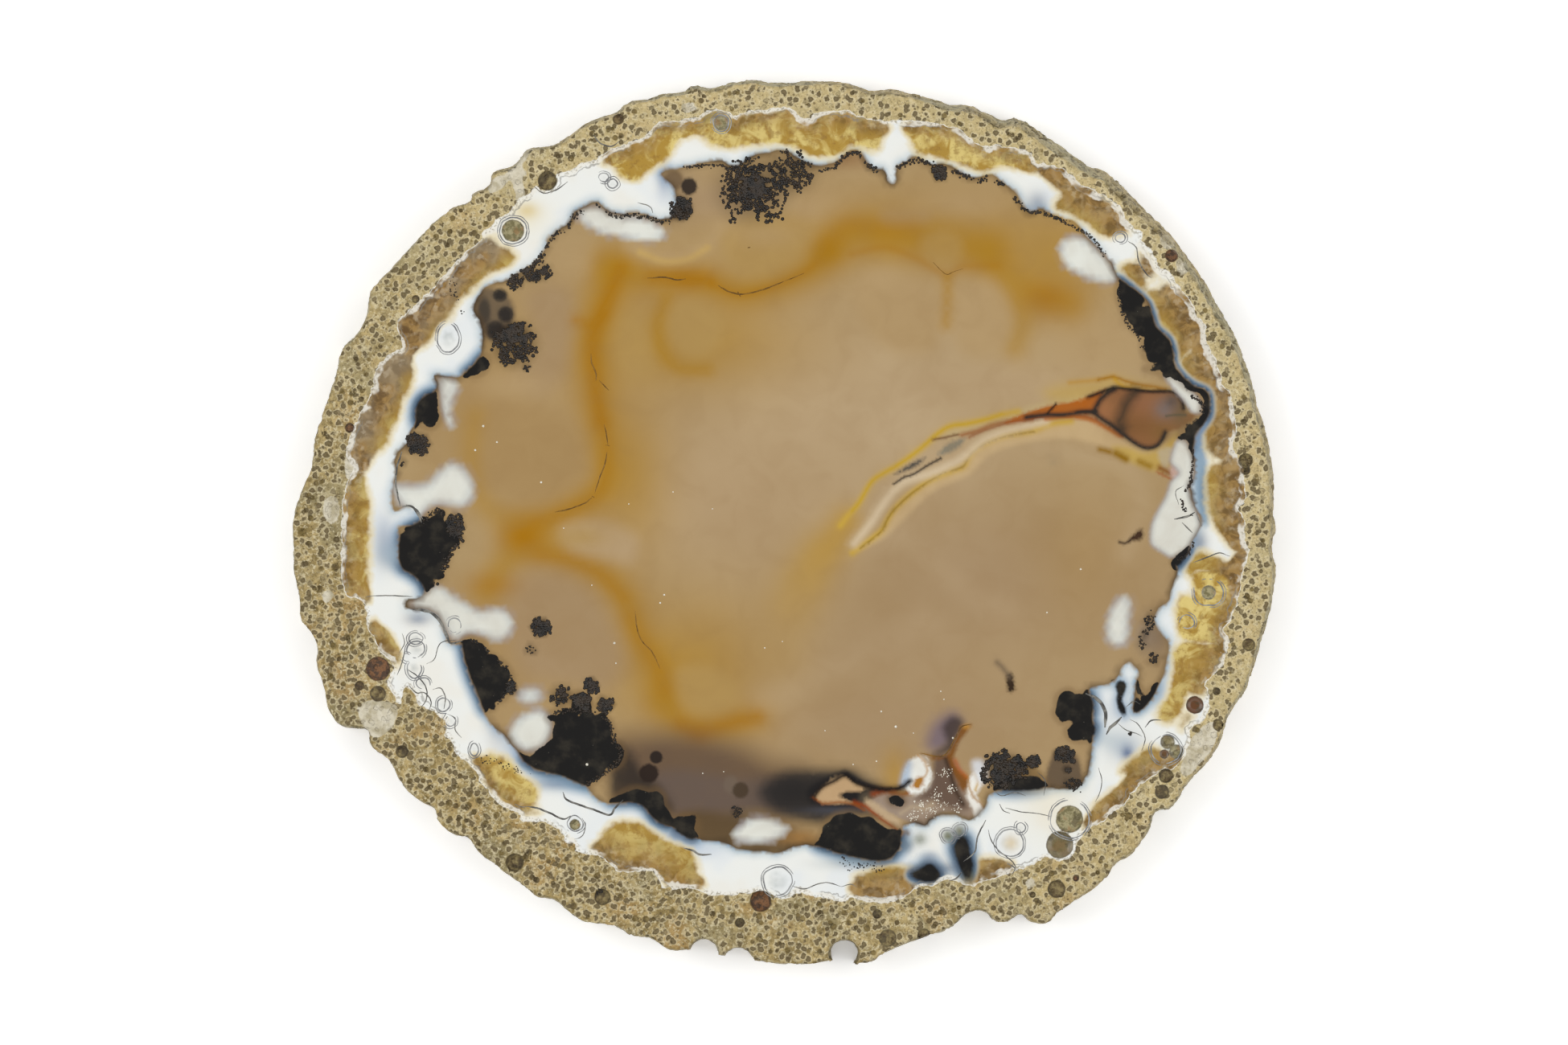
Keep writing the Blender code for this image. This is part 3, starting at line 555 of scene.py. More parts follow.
# Round gas bubbles cut by the saw: centre, radius, depth as a share of the radius, and rust from 0 to 1
BUBBLES = (
    (897, 153, 9, 0.2, 0.1), (681, 225, 12, 0.4, 0.1), (638, 287, 14, 0.1, 0.1), (769, 148, 7, 0.5, 0.6),
    (435, 532, 6, 0.5, 0.8), (470, 832, 15, 0.3, 1.0), (470, 863, 10, 0.2, 0.0), (447, 853, 6, 0.6, 0.6),
    (640, 1073, 11, 0.6, 0.4), (749, 1116, 10, 0.5, 0.3), (946, 1121, 13, 0.6, 1.0), (920, 1148, 6, 0.6, 0.2),
    (715, 1026, 7, 0.1, 0.0), (1330, 1019, 17, 0.1, 0.0), (1318, 1051, 17, 0.3, 0.3), (1452, 923, 9, 0.3, 0.2),
    (1448, 938, 6, 0.3, 0.8), (1463, 935, 9, 0.3, 0.1), (1486, 877, 11, 0.4, 1.0), (1503, 737, 9, 0.2, 0.0),
    (1549, 573, 9, 0.5, 0.2), (1553, 802, 8, 0.4, 0.1), (1513, 860, 5, 0.5, 0.3), (1314, 1106, 11, 0.4, 0.3),
    (1338, 1093, 4, 0.4, 0.9), (1284, 1113, 4, 0.5, 0.2), (1104, 1167, 11, 0.2, 0.2), (1149, 1163, 8, 0.4, 0.2),
    (1091, 1137, 6, 0.5, 0.2), (1457, 318, 8, 0.5, 0.9), (1450, 965, 9, 0.4, 0.3), (1445, 985, 9, 0.2, 0.1),
    (1515, 902, 7, 0.3, 0.1), (500, 935, 8, 0.4, 0.2), (517, 372, 5, 0.5, 0.2), (1549, 585, 6, 0.6, 0.1),
)

# Pale chalcedony that fills cracks in the rind
PALE_PATCHES = (
    ((606, 228), (618, 220), (632, 214), (640, 204), (645, 188), (655, 183), (662, 184), (656, 196), (650, 208), (656, 216),
     (650, 222), (654, 246), (652, 258), (644, 258), (640, 238), (634, 224), (622, 236), (610, 240)),
    ((445, 880), (458, 872), (478, 872), (494, 880), (490, 900), (478, 914), (462, 916), (450, 900)),
    ((1478, 925), (1494, 905), (1510, 898), (1514, 914), (1506, 934), (1492, 950), (1478, 965), (1468, 958)),
    ((430, 566), (444, 560), (448, 578), (440, 596), (430, 592)),
    ((404, 622), (418, 618), (422, 640), (412, 652), (402, 640)),
    ((848, 130), (862, 128), (866, 136), (852, 140)),
    ((1442, 296), (1456, 292), (1462, 304), (1450, 310)),
    ((1462, 326), (1472, 322), (1478, 336), (1468, 344)),
    ((1275, 1098), (1282, 1092), (1288, 1100), (1280, 1106)),
    ((400, 740), (410, 734), (416, 742), (406, 750)),
)

# Dendrites: centre, radii, grain spacing and grain size in pixels, and how much of it is open lace
DENDRITES = (
    (936, 236, 40, 36, 4.4, 2.7, 0.45), (936, 232, 16, 16, 3.4, 3.0, 0.12), (984, 214, 28, 24, 4.8, 2.5, 0.45),
    (1168, 216, 9, 8, 3.2, 2.8, 0.10), (846, 260, 14, 14, 3.4, 2.4, 0.20),
    (662, 342, 14, 9, 3.4, 2.3, 0.30), (641, 350, 10, 9, 3.4, 2.3, 0.30), (680, 338, 7, 8, 3.2, 2.2, 0.35),
    (639, 428, 27, 26, 3.8, 2.5, 0.34), (640, 415, 16, 14, 3.2, 2.5, 0.15), (656, 458, 5, 4, 3.4, 1.8, 0.30),
    (672, 780, 12, 12, 3.0, 2.5, 0.06), (661, 808, 7, 6, 4.6, 1.5, 0.40), (736, 853, 9, 9, 2.9, 2.4, 0.10),
    (752, 877, 10, 9, 2.9, 2.4, 0.08), (698, 866, 13, 12, 3.4, 2.3, 0.32), (723, 874, 12, 12, 2.9, 2.5, 0.08),
    (915, 1010, 7, 7, 4.0, 1.7, 0.35), (1250, 957, 30, 19, 3.6, 2.8, 0.22), (1285, 948, 8, 8, 3.0, 2.5, 0.10),
    (1335, 977, 12, 7, 3.6, 1.9, 0.30), (1420, 800, 5, 9, 4.2, 1.9, 0.50), (1430, 772, 6, 12, 4.4, 1.9, 0.50),
    (1435, 820, 7, 6, 4.0, 2.2, 0.40), (1424, 786, 4, 5, 3.4, 1.6, 0.40), (520, 552, 14, 14, 3.0, 2.2, 0.15),
    (500, 577, 4, 4, 3.0, 1.5, 0.30), (1406, 913, 2, 2, 2.0, 1.4, 0.0), (1328, 958, 4, 4, 2.6, 2.0, 0.0),
    (1322, 938, 13, 9, 3.0, 2.2, 0.12), (1240, 968, 8, 10, 3.2, 2.4, 0.25), (1334, 946, 4, 3, 2.6, 2.0, 0.0), (745, 1110, 4, 4, 3.0, 1.4, 0.4),
    (636, 856, 8, 8, 3.0, 2.0, 0.2), (566, 655, 10, 16, 3.0, 2.2, 0.2),
)
# Black grains along a line: spacing, grain size, width of the ribbon, then its places
FRINGES = (
    (3.6, 1.8, 6, ((742, 254), (752, 262), (766, 269), (786, 268), (800, 270), (826, 277), (838, 270), (843, 255))),
    (3.4, 1.7, 5, ((900, 206), (912, 212), (928, 204), (942, 198))),
    (3.4, 2.2, 6, ((1040, 204), (1052, 194), (1066, 190), (1076, 202), (1090, 214))),
    (3.4, 2.2, 6, ((1118, 208), (1134, 200), (1150, 202), (1176, 210), (1192, 216), (1214, 224), (1232, 222), (1248, 230))),
    (3.6, 2.0, 5, ((1262, 246), (1276, 262), (1300, 266), (1324, 276))),
    (3.4, 1.8, 6, ((690, 292), (704, 284), (714, 270), (724, 262))),
    (3.2, 2.2, 6, ((650, 338), (668, 328), (678, 314))),
    (3.2, 2.6, 8, ((552, 648), (562, 655), (573, 670), (568, 680), (556, 694), (554, 706), (546, 722), (540, 728))),
    (3.4, 1.9, 6, ((528, 648), (536, 640), (546, 634), (552, 642))),
    (3.2, 1.8, 5, ((586, 795), (598, 802), (610, 814), (626, 828), (637, 846), (630, 860), (620, 874))),
    (3.2, 1.9, 6, ((690, 886), (706, 884), (740, 888), (758, 900), (764, 922), (772, 936), (764, 952), (744, 968), (728, 976))),
    (3.6, 1.6, 5, ((1392, 360), (1394, 380), (1402, 402), (1414, 416), (1421, 432))),
    (3.0, 1.7, 4, ((1484, 560), (1482, 590), (1478, 606), (1470, 620), (1474, 634), (1482, 640))),
    (3.0, 1.6, 4, ((1484, 676), (1476, 690), (1464, 698))),
    (3.6, 1.9, 6, ((1222, 966), (1234, 976), (1256, 976))),
    (3.4, 1.6, 5, ((1324, 276), (1346, 288), (1362, 300), (1374, 318))),
    (3.2, 1.8, 4, ((650, 346), (662, 330), (676, 312), (690, 292))),
    (3.4, 1.6, 4, ((1000, 218), (1016, 214), (1040, 208))),
    (3.4, 1.6, 4, ((850, 208), (872, 206), (900, 206))),
    (4.4, 1.3, 12, ((1045, 1072), (1064, 1078), (1084, 1076), (1100, 1080))),
    (4.6, 1.2, 14, ((600, 944), (620, 950), (650, 962))),
    (4.4, 1.4, 10, ((560, 350), (566, 366), (572, 390))),
    (3.2, 1.8, 6, ((1480, 492), (1494, 500), (1496, 514))),
)

# Fine dark lines in the wall: radius in pixels, then the places
GREY_LINES = (
    (0.7, ((454, 742), (480, 741), (513, 742))),
    (1.5, ((500, 630), (512, 630), (520, 640), (524, 650))),
    (1.2, ((520, 757), (535, 762), (548, 775), (556, 790), (560, 800), (575, 797))),
    (1.2, ((655, 1003), (670, 1006), (685, 1012), (700, 1019), (710, 1015))),
    (1.3, ((700, 985), (705, 995), (720, 1001), (740, 1008), (758, 1014), (765, 1005), (775, 995))),
    (0.8, ((793, 252), (808, 257), (812, 265))),
    (1.3, ((850, 1055), (862, 1058), (870, 1063), (885, 1063))),
    (1.4, ((1460, 646), (1470, 644), (1480, 641), (1486, 637))),
    (0.9, ((1488, 636), (1490, 645), (1495, 655))),
    (1.2, ((1470, 650), (1476, 656), (1483, 663))),
    (0.8, ((1403, 300), (1413, 308), (1416, 325), (1425, 340), (1432, 346))),
    (2.2, ((1350, 863), (1362, 868), (1370, 876), (1375, 888), (1374, 905))),
    (2.0, ((1395, 892), (1388, 899), (1381, 905), (1376, 914))),
    (0.6, ((1390, 900), (1400, 908), (1412, 912), (1420, 916))),
    (0.6, ((1366, 955), (1370, 970), (1368, 985), (1362, 998))),
    (0.6, ((1250, 1005), (1270, 1010), (1290, 1012), (1308, 1016))),
    (0.7, ((505, 802), (500, 824), (494, 840))),
    (0.8, ((507, 833), (520, 842), (530, 856), (530, 870), (524, 880))),
    (0.8, ((538, 858), (548, 856), (554, 868), (552, 882))),
    (0.6, ((568, 796), (548, 800), (540, 820), (530, 826))),
    (0.7, ((985, 1102), (1000, 1106), (1016, 1100), (1030, 1098), (1046, 1103))),
    (1.1, ((1196, 1085), (1190, 1092), (1180, 1096))),
    (1.0, ((1252, 1074), (1262, 1080), (1258, 1088))),
    (0.8, ((1243, 1000), (1247, 1008), (1256, 1012))),
    (1.0, ((1424, 905), (1432, 896), (1444, 896))),
    (0.8, ((1484, 700), (1500, 694), (1516, 688), (1530, 692))),
    (0.9, ((1226, 1020), (1216, 1040), (1212, 1060), (1198, 1072))),
    (0.6, ((1472, 604), (1462, 612), (1466, 628))),
    (1.1, ((500, 562), (494, 580), (492, 598), (494, 614), (498, 630))),
    (0.9, ((505, 628), (518, 634), (526, 646))),
    (1.0, ((512, 758), (526, 760), (540, 764), (550, 776), (554, 790), (562, 802))),
    (0.7, ((497, 812), (503, 800), (500, 788))),
    (0.8, ((508, 852), (518, 862), (528, 862), (536, 872), (534, 884))),
    (0.7, ((556, 888), (566, 894), (566, 908), (574, 918))),
    (0.8, ((640, 1000), (648, 1004), (656, 1003))),
    (0.7, ((724, 1018), (728, 1028), (724, 1040), (714, 1044))),
    (0.7, ((1229, 1032), (1233, 1046), (1242, 1058), (1252, 1066), (1261, 1074), (1264, 1084))),
    (0.6, ((1236, 984), (1246, 990), (1262, 986), (1276, 990))),
    (0.6, ((1290, 960), (1300, 972), (1298, 990))),
    (0.8, ((1400, 880), (1410, 872), (1418, 876))),
    (0.6, ((1404, 894), (1416, 902), (1424, 918), (1420, 934))),
    (0.7, ((1046, 1103), (1058, 1100), (1066, 1104))),
    (0.9, ((738, 168), (746, 178), (760, 182), (770, 176))),
    (0.7, ((664, 232), (676, 240), (692, 236), (706, 226))),
)
# Healed cracks in the heart: radius in pixels, then the places
BROWN_LINES = (
    (0.9, ((735, 440), (736, 452), (741, 464), (741, 474))),
    (0.8, ((745, 473), (750, 478), (757, 486))),
    (0.7, ((751, 528), (754, 540), (756, 554))),
    (1.1, ((753, 554), (756, 554), (758, 555))),
    (0.7, ((755, 562), (752, 578), (745, 596), (739, 616))),
    (1.4, ((736, 617), (739, 619))),
    (0.9, ((736, 619), (725, 627), (705, 634), (690, 637))),
    (0.7, ((790, 760), (792, 780), (798, 797), (810, 810), (818, 825), (821, 832))),
    (0.9, ((805, 346), (825, 345), (842, 348), (853, 347))),
    (0.9, ((893, 355), (905, 362), (919, 366), (935, 364), (950, 360), (975, 350))),
    (1.3, ((917, 363), (921, 369))),
    (0.6, ((975, 350), (990, 344), (1000, 340))),
    (0.45, ((1160, 326), (1176, 341), (1186, 338), (1198, 334))),
    (1.6, ((930, 308), (933, 308))),
    (0.8, ((1146, 937), (1158, 940), (1170, 941), (1178, 936), (1187, 920), (1193, 908), (1198, 903), (1208, 901))),
)
# Rings of growth round small centres in the wall: centre, two radii
RING_RADIUS = 0.9

# Pale specks in the heart: centre and radius in pixels
SPECKS = (
    (601, 530, 1.6), (618, 550, 1.8), (591, 560, 1.5), (673, 600, 1.2), (837, 612, 1.2), (782, 627, 1.2),
    (886, 633, 1.3), (701, 657, 1.3), (736, 728, 1.3), (826, 740, 1.3), (821, 750, 1.1), (764, 800, 1.4),
    (951, 806, 1.3), (973, 798, 1.2), (766, 825, 1.2), (1096, 885, 1.3), (1114, 904, 1.5), (1090, 947, 1.6),
    (1061, 951, 1.4), (1136, 912, 1.2), (1185, 918, 1.3), (1026, 909, 1.2), (874, 962, 1.3), (730, 951, 1.6),
    (900, 960, 1.1), (1174, 870, 1.2), (1302, 762, 1.3), (1344, 708, 1.3), (1170, 860, 1.0),
)

# Skin that shows round the front face: direction in degrees, and how far the face's edge stands in, in pixels
SKIN_WIDTHS = ((-180, 3), (-135, 3), (-90, 3), (-45, 4), (-10, 7), (15, 10), (45, 16), (62, 13), (80, 7), (100, 7), (135, 4), (180, 3))
# Side view of the rim: share of the height, and how much of the front face's inset is left there
RIM_PROFILE = ((0.0, 0.40), (0.08, 0.12), (0.20, 0.04), (0.34, 0.02), (0.48, 0.10), (0.75, 0.42), (0.94, 0.80), (1.0, 1.0))
RIM_ROWS = 18
RIM_ROUGHNESS = 4.2
PIT_DEPTH = 6.0
EDGE_STEP = 3.1
RIND_STEP = 3.4
HEART_STEP = 3.0
FAR = 30.0
GRAIN_SPACING = 0.52
GRAIN_SIZE = 0.76
OPEN_SHARE = 0.5
DRUSE_GRAINS = 260


def linear(colour):
    """A hex colour as the linear values that shaders and attributes take."""
    parts = [int(colour[i:i + 2], 16) / 255 for i in (1, 3, 5)]
    return (*(((part + 0.055) / 1.055) ** 2.4 if part > 0.04045 else part / 12.92 for part in parts), 1.0)


def place(x, y, z=FACE_Z):
    """The place on the slice, in metres, of a place in the picture."""
    return ((x - CENTRE[0]) * METRES_PER_PIXEL, (CENTRE[1] - y) * METRES_PER_PIXEL, z)


def smooth(points, closed=True, step=1.0):
    """Points every step or so along a smooth line through the given ones."""
    points = np.array(points, float)
    if closed:
        ring = np.vstack([points[-1:], points, points[:2]])
    else:
        ring = np.vstack([2 * points[:1] - points[1:2], points, 2 * points[-1:] - points[-2:-1]])
    pieces = []
    for a, b, c, d in zip(ring, ring[1:], ring[2:], ring[3:]):
        count = max(1, round(float(np.linalg.norm(c - b)) / step))
        t = (np.arange(count) / count)[:, None]
        square = t * t * (a - 2.5 * b + 2 * c - 0.5 * d)
        cube = t ** 3 * (1.5 * (b - c) + 0.5 * (d - a))
        pieces.append(b + 0.5 * t * (c - a) + square + cube)
    if not closed:
        pieces.append(points[-1:])
    return np.vstack(pieces)


def resample(loop, spacing):
    """The closed loop with evenly spaced points."""
    ring = np.vstack([loop, loop[:1]])
    along = np.concatenate([[0], np.cumsum(np.linalg.norm(np.diff(ring, axis=0), axis=1))])
    stops = np.linspace(0, along[-1], max(8, round(along[-1] / spacing)), endpoint=False)
    return np.stack([np.interp(stops, along, ring[:, 0]), np.interp(stops, along, ring[:, 1])], 1)


def outward(loop):
    """Unit vectors pointing out of the loop at each of its points."""
    after, before = np.roll(loop, -1, 0), np.roll(loop, 1, 0)
    area = np.sum(loop[:, 0] * after[:, 1] - after[:, 0] * loop[:, 1])
    along = after - before
    along /= np.linalg.norm(along, axis=1, keepdims=True)
    return np.stack([along[:, 1], -along[:, 0]], 1) * np.sign(area)


def roughness(spots, wave, phase, octaves=3):
    """Smooth noise between about -1 and 1 at each spot, with features about a wave across."""
    scaled = [Vector((x / wave, y / wave, phase)) for x, y in spots]
    return np.array([noise.fractal(at, 0.9, 2.0, octaves) for at in scaled])


def inside(spots, loop):
    """Which spots lie inside the loop, by counting the edges crossed on the way right."""
    found = np.zeros(len(spots), bool)
    near = np.flatnonzero(((spots >= loop.min(0)) & (spots <= loop.max(0))).all(1))
    x, y = spots[near].T
    within = np.zeros(len(near), bool)
    for (ax, ay), (bx, by) in zip(loop, np.roll(loop, -1, 0)):
        if ay != by:
            within ^= ((ay > y) != (by > y)) & (x < (bx - ax) * (y - ay) / (by - ay) + ax)
    found[near] = within
    return found


def search_tree(points):
    tree = kdtree.KDTree(len(points))
    for index, (x, y) in enumerate(points):
        tree.insert((x, y, 0), index)
    tree.balance()
    return tree


def distance(spots, line, reach=FAR):
    """How far each spot is from the line's points, in pixels, at most the reach."""
    far = np.full(len(spots), float(reach))
    near = np.flatnonzero(((spots > line.min(0) - reach) & (spots < line.max(0) + reach)).all(1))
    tree = search_tree(line)
    for index in near:
        far[index] = min(reach, tree.find((*spots[index], 0))[2])
    return far


def level(spots, loop, reach=FAR):
    """Signed distance from a finished loop, more than nothing inside it."""
    depth = distance(spots, loop, reach)
    return np.where(inside(spots, loop), depth, -depth)


def ease(value, low, high):
    """0 below low, 1 above high, and a smooth step between."""
    t = np.clip((value - low) / (high - low), 0, 1)
    return t * t * (3 - 2 * t)


def cad_outline():
    """The slice's full outline, in pixels and in order, where a level cut meets the CAD node's mesh."""
    edit = bmesh.new()
    edit.from_mesh(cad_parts["agate_slice"].data)
    bmesh.ops.remove_doubles(edit, verts=edit.verts, dist=0.000005)
    everything = edit.verts[:] + edit.edges[:] + edit.faces[:]
    level_cut = {"plane_co": (0, 0, THICKNESS / 2), "plane_no": (0, 0, 1), "clear_inner": True, "clear_outer": True}
    bmesh.ops.bisect_plane(edit, geom=everything, dist=0.000001, **level_cut)
    start = vertex = next(iter(edit.verts))
    before, loop = None, []
    while vertex != start or not loop:
        loop.append((vertex.co.x / METRES_PER_PIXEL + CENTRE[0], CENTRE[1] - vertex.co.y / METRES_PER_PIXEL))
        onward = [edge.other_vert(vertex) for edge in vertex.link_edges]
        onward = [other for other in onward if other is not before]
        before, vertex = vertex, onward[0]
    whole = len(loop) == len(edit.verts)
    edit.free()
    if not whole:
        raise RuntimeError("the level cut through the CAD mesh isn't one loop")
    return np.array(loop)


def lattice(spacing, jitter, dice):
    """A shaken triangular lattice of points over the whole picture of the slice."""
    rows = np.arange(OUTLINE_TOP, OUTLINE_BOTTOM, spacing * 0.866)
    columns = np.arange(OUTLINE_LEFT, OUTLINE_RIGHT, spacing)
    x, y = np.meshgrid(columns, rows)
    x = x + (np.arange(len(rows)) % 2)[:, None] * spacing / 2
    spots = np.stack([x.ravel(), y.ravel()], 1)
    return spots + dice.uniform(-jitter, jitter, spots.shape) * spacing


def ring(x, y, radius, count, turn=0.0):
    angles = turn + np.arange(count) * 2 * math.pi / count
    return np.stack([x + radius * np.cos(angles), y + radius * np.sin(angles)], 1)


class Plan:
    """The points of a face before it is meshed: places in pixels, depths below the face, and fixed edges."""

    def __init__(self):
        self.spots = np.empty((0, 2))
        self.depths = np.empty(0)
        self.edges = []

    def add(self, spots, depth=0.0, closed=False):
        first = len(self.spots)
        self.spots = np.vstack([self.spots, spots])
        self.depths = np.concatenate([self.depths, np.broadcast_to(depth, len(spots))])
        if closed:
            count = len(spots)
            self.edges += [(first + i, first + (i + 1) % count) for i in range(count)]

    def mesh(self, outer_count):
        """Triangles over the plan, cut off at its outer loop: the places, depths and corner numbers."""
        made = geometry.delaunay_2d_cdt([Vector(spot) for spot in self.spots], self.edges, [], 0, 0.001)
        spots = np.array([tuple(vertex) for vertex in made[0]])
        origins = [source[0] if source else -1 for source in made[3]]
        depths = np.array([self.depths[origin] if origin >= 0 else 0.0 for origin in origins])
        corners = np.array([face for face in made[2] if len(face) == 3])
        middles = spots[corners].mean(1)
        corners = corners[inside(middles, self.spots[:outer_count])]
        order = {origin: index for index, origin in enumerate(origins)}
        outer = np.array([order[index] for index in range(outer_count)])
        return spots, depths, corners, outer


def skin_inset(loop):
    """How far in from the full outline the front face's edge stands, at each point of the outline."""
    angles = np.degrees(np.arctan2(CENTRE[1] - loop[:, 1], loop[:, 0] - CENTRE[0]))
    directions, widths = zip(*SKIN_WIDTHS)
    return np.interp(angles, directions, widths)


def face_loops():
    """The outline, the rind's inner edge and the heart's edge, finished and evenly spaced."""
    outline = resample(cad_outline(), EDGE_STEP)
    rind = resample(smooth(RIND_EDGE), RIND_STEP)
    rind += outward(rind) * (roughness(rind, 9, 3.1) * 2.6)[:, None]
    heart = resample(smooth(HEART_EDGE), HEART_STEP)
    heart += outward(heart) * (roughness(heart, 11, 8.4) * 1.5)[:, None]
    return outline, rind, heart


def detail_lines():
    """Every crisp marking of the heart, as one cloud of points that want a fine mesh round them."""
    lines = [smooth(loop, step=3) for loop in MASSES.values()]
    lines += [smooth(CLOUDS[name], step=3) for name in ("flame", "streak", "right_up")]
    for kind, _, _, softness, places in HEART_STAINS + TUBE_STAINS + DRUSE_STAINS:
        if kind == "spot" and softness:
            lines += [ring(*places[:2], places[2] * share, 14) for share in (0.45, 0.84, 1.16)]
        elif kind != "spot" and softness < 8:
            lines.append(smooth(places, kind == "pool", 2.4))
    return np.vstack(lines)


def front_plan(settings, front, rind, heart):
    """All points of the front face: loops, bubbles, pores, and fill as fine as each zone needs."""
    dice = np.random.default_rng(settings.seed)
    plan = Plan()
    plan.add(front, 0.0, closed=True)
    plan.add(rind, 0.0, closed=True)
    plan.add(heart, 0.0, closed=True)
    fixed = [front, rind, heart]
    for x, y, radius, depth, _ in BUBBLES:
        sides = max(10, round(radius * 2.2))
        for share, fall in ((1.12, 0.0), (0.98, 0.25), (0.72, 0.8), (0.4, 1.0)):
            plan.add(ring(x, y, radius * share, sides), radius * depth * fall)
        plan.add(np.array([[x, y]]), radius * depth)
    bubbles = np.array([(x, y) for x, y, *_ in BUBBLES])
    bubble_radii = np.array([radius for _, _, radius, *_ in BUBBLES])

    def clear_of_bubbles(spots, gap):
        apart = np.linalg.norm(spots[:, None] - bubbles[None], axis=2)
        return (apart > bubble_radii * 1.12 + gap).all(1)

    pores = lattice(settings.pore_spacing, 0.36, dice)
    pores = pores[inside(pores, front) & ~inside(pores, rind)]
    radii = np.clip(dice.lognormal(math.log(settings.pore_radius), 0.36, len(pores)), 1.5, 6.5)
    room = np.minimum(distance(pores, front, 12), distance(pores, rind, 12))
    keep = (room > radii + 2.2) & clear_of_bubbles(pores, 4) & (roughness(pores, 70, 9.1) < 0.55)
    for loop in PALE_PATCHES:
        keep &= ~inside(pores, np.array(loop, float))
    pores, radii = pores[keep], radii[keep]
    for (x, y), radius in zip(pores, radii):
        sides = 6 if radius < 2.6 else 8
        turn = x + y
        plan.add(ring(x, y, radius, sides, turn), 0.0)
        if radius > 3.2:
            plan.add(ring(x, y, radius * 0.66, sides, turn), radius * 0.6)
        plan.add(np.array([[x, y]]), radius * 0.75)

    marks = detail_lines()
    fine = search_tree(marks)
    pore_tree = search_tree(pores)
    loop_tree = search_tree(np.vstack(fixed))
    _, first = np.unique(np.round(marks / 1.8), axis=0, return_index=True)
    marks = marks[np.sort(first)]
    apart = np.array([loop_tree.find((x, y, 0))[2] for x, y in marks])
    marks = marks[inside(marks, heart) & (apart > 2.2) & clear_of_bubbles(marks, 2)]
    plan.add(marks, 0.0)
    loop_tree = search_tree(np.vstack(fixed + [marks]))
    zones = (
        (settings.rind_spacing, "rind"),
        (settings.wall_spacing, "wall"),
        (settings.heart_spacing, "heart"),
        (settings.detail_spacing, "detail"),
    )
    for spacing, zone in zones:
        spots = lattice(spacing, 0.16, dice)
        if zone == "rind":
            spots = spots[inside(spots, front) & ~inside(spots, rind)]
        elif zone == "wall":
            spots = spots[inside(spots, rind) & ~inside(spots, heart)]
        else:
            spots = spots[inside(spots, heart)]
        apart = np.array([loop_tree.find((x, y, 0))[2] for x, y in spots])
        spots = spots[(apart > min(2.2, spacing * 0.55)) & clear_of_bubbles(spots, 2)]
        if zone == "rind":
            found = [pore_tree.find((x, y, 0)) for x, y in spots]
            spots = spots[np.array([gap > radii[index] + 2.0 for _, index, gap in found])]
        elif zone != "wall":
            detail = np.array([fine.find((x, y, 0))[2] < settings.detail_margin for x, y in spots])
            spots = spots[detail if zone == "detail" else ~detail]
        relief = np.clip(roughness(spots, 5, 2.7) * 0.8, 0, 1) if zone == "rind" else 0.0
        plan.add(spots, relief)
    return plan


def back_plan(settings, back, rind, heart):
    """The back face: the same loops, and a coarse fill."""
    dice = np.random.default_rng(settings.seed + 1)
    plan = Plan()
    plan.add(back, 0.0, closed=True)
    plan.add(rind[::2], 0.0, closed=True)
    plan.add(heart[::2], 0.0, closed=True)
    loops = search_tree(np.vstack([back, rind[::2], heart[::2]]))
    spots = lattice(settings.back_spacing, 0.16, dice)
    spots = spots[inside(spots, back)]
    apart = np.array([loops.find((x, y, 0))[2] for x, y in spots])
    plan.add(spots[apart > settings.back_spacing * 0.45], 0.0)
    return plan


def rim_rows(outline):
    """The loops down the rough rim, front to back: points in pixels, height in metres and depth of the pits."""
    out = outward(outline)
    inset = skin_inset(outline)
    heights, shares = zip(*RIM_PROFILE)
    rows = []
    for height in np.linspace(1.0, 0.0, RIM_ROWS):
        z = FACE_Z * height
        at = [Vector((x / 16, y / 16, z / METRES_PER_PIXEL / 16)) for x, y in outline]
        bumps = np.array([noise.fractal(spot, 0.8, 2.0, 4) for spot in at])
        grit = np.array([noise.fractal(spot * 3.4, 0.9, 2.0, 2) for spot in at])
        found = [noise.voronoi(spot * 1.35) for spot in at]
        sizes = np.array([0.20 + 0.28 * noise.cell(points[0] * 9.1) for _, points in found])
        hollow = ease(np.array([gaps[0] for gaps, _ in found]) / sizes, 1.0, 0.4)
        cut = RIM_ROUGHNESS * (0.3 + 0.5 * bumps + 0.38 * grit)
        if height in (0.0, 1.0):
            cut, hollow = cut * 0.5, hollow * 0.0
        inward = inset * np.interp(height, heights, shares) + np.maximum(cut, 0.0) + PIT_DEPTH * hollow
        row = outline - out * np.maximum(inward, 0.4)[:, None]
        astray = ~inside(row, outline) | (distance(row, outline, 16) < 0.3 * inward)
        row[astray] = (outline - out * 0.4)[astray]
        rows.append((row, z, 1.8 * hollow))
    return rows


def stained(colour, spots, stains, reach=FAR):
    """The colours with a list of stains laid over them in turn."""
    for kind, paint, strength, softness, places in stains:
        if kind == "spot":
            x, y, wide, high = places
            apart = np.hypot((spots[:, 0] - x) / wide, (spots[:, 1] - y) / high)
            cover = ease(apart, 1 + softness, 1 - softness) if softness else np.exp(-apart ** 2)
        elif kind == "pool":
            cover = ease(level(spots, smooth(places), max(reach, softness * 2)), -softness, softness)
        else:
            cover = np.exp(-(distance(spots, smooth(places, False), softness * 3) / softness) ** 2)
        cover = (cover * strength)[:, None]
        colour = colour * (1 - cover) + np.array(linear(paint))[:3] * cover
    return colour


def mixed(colour, paint, cover):
    cover = cover[:, None]
    return colour * (1 - cover) + np.array(linear(paint))[:3] * cover


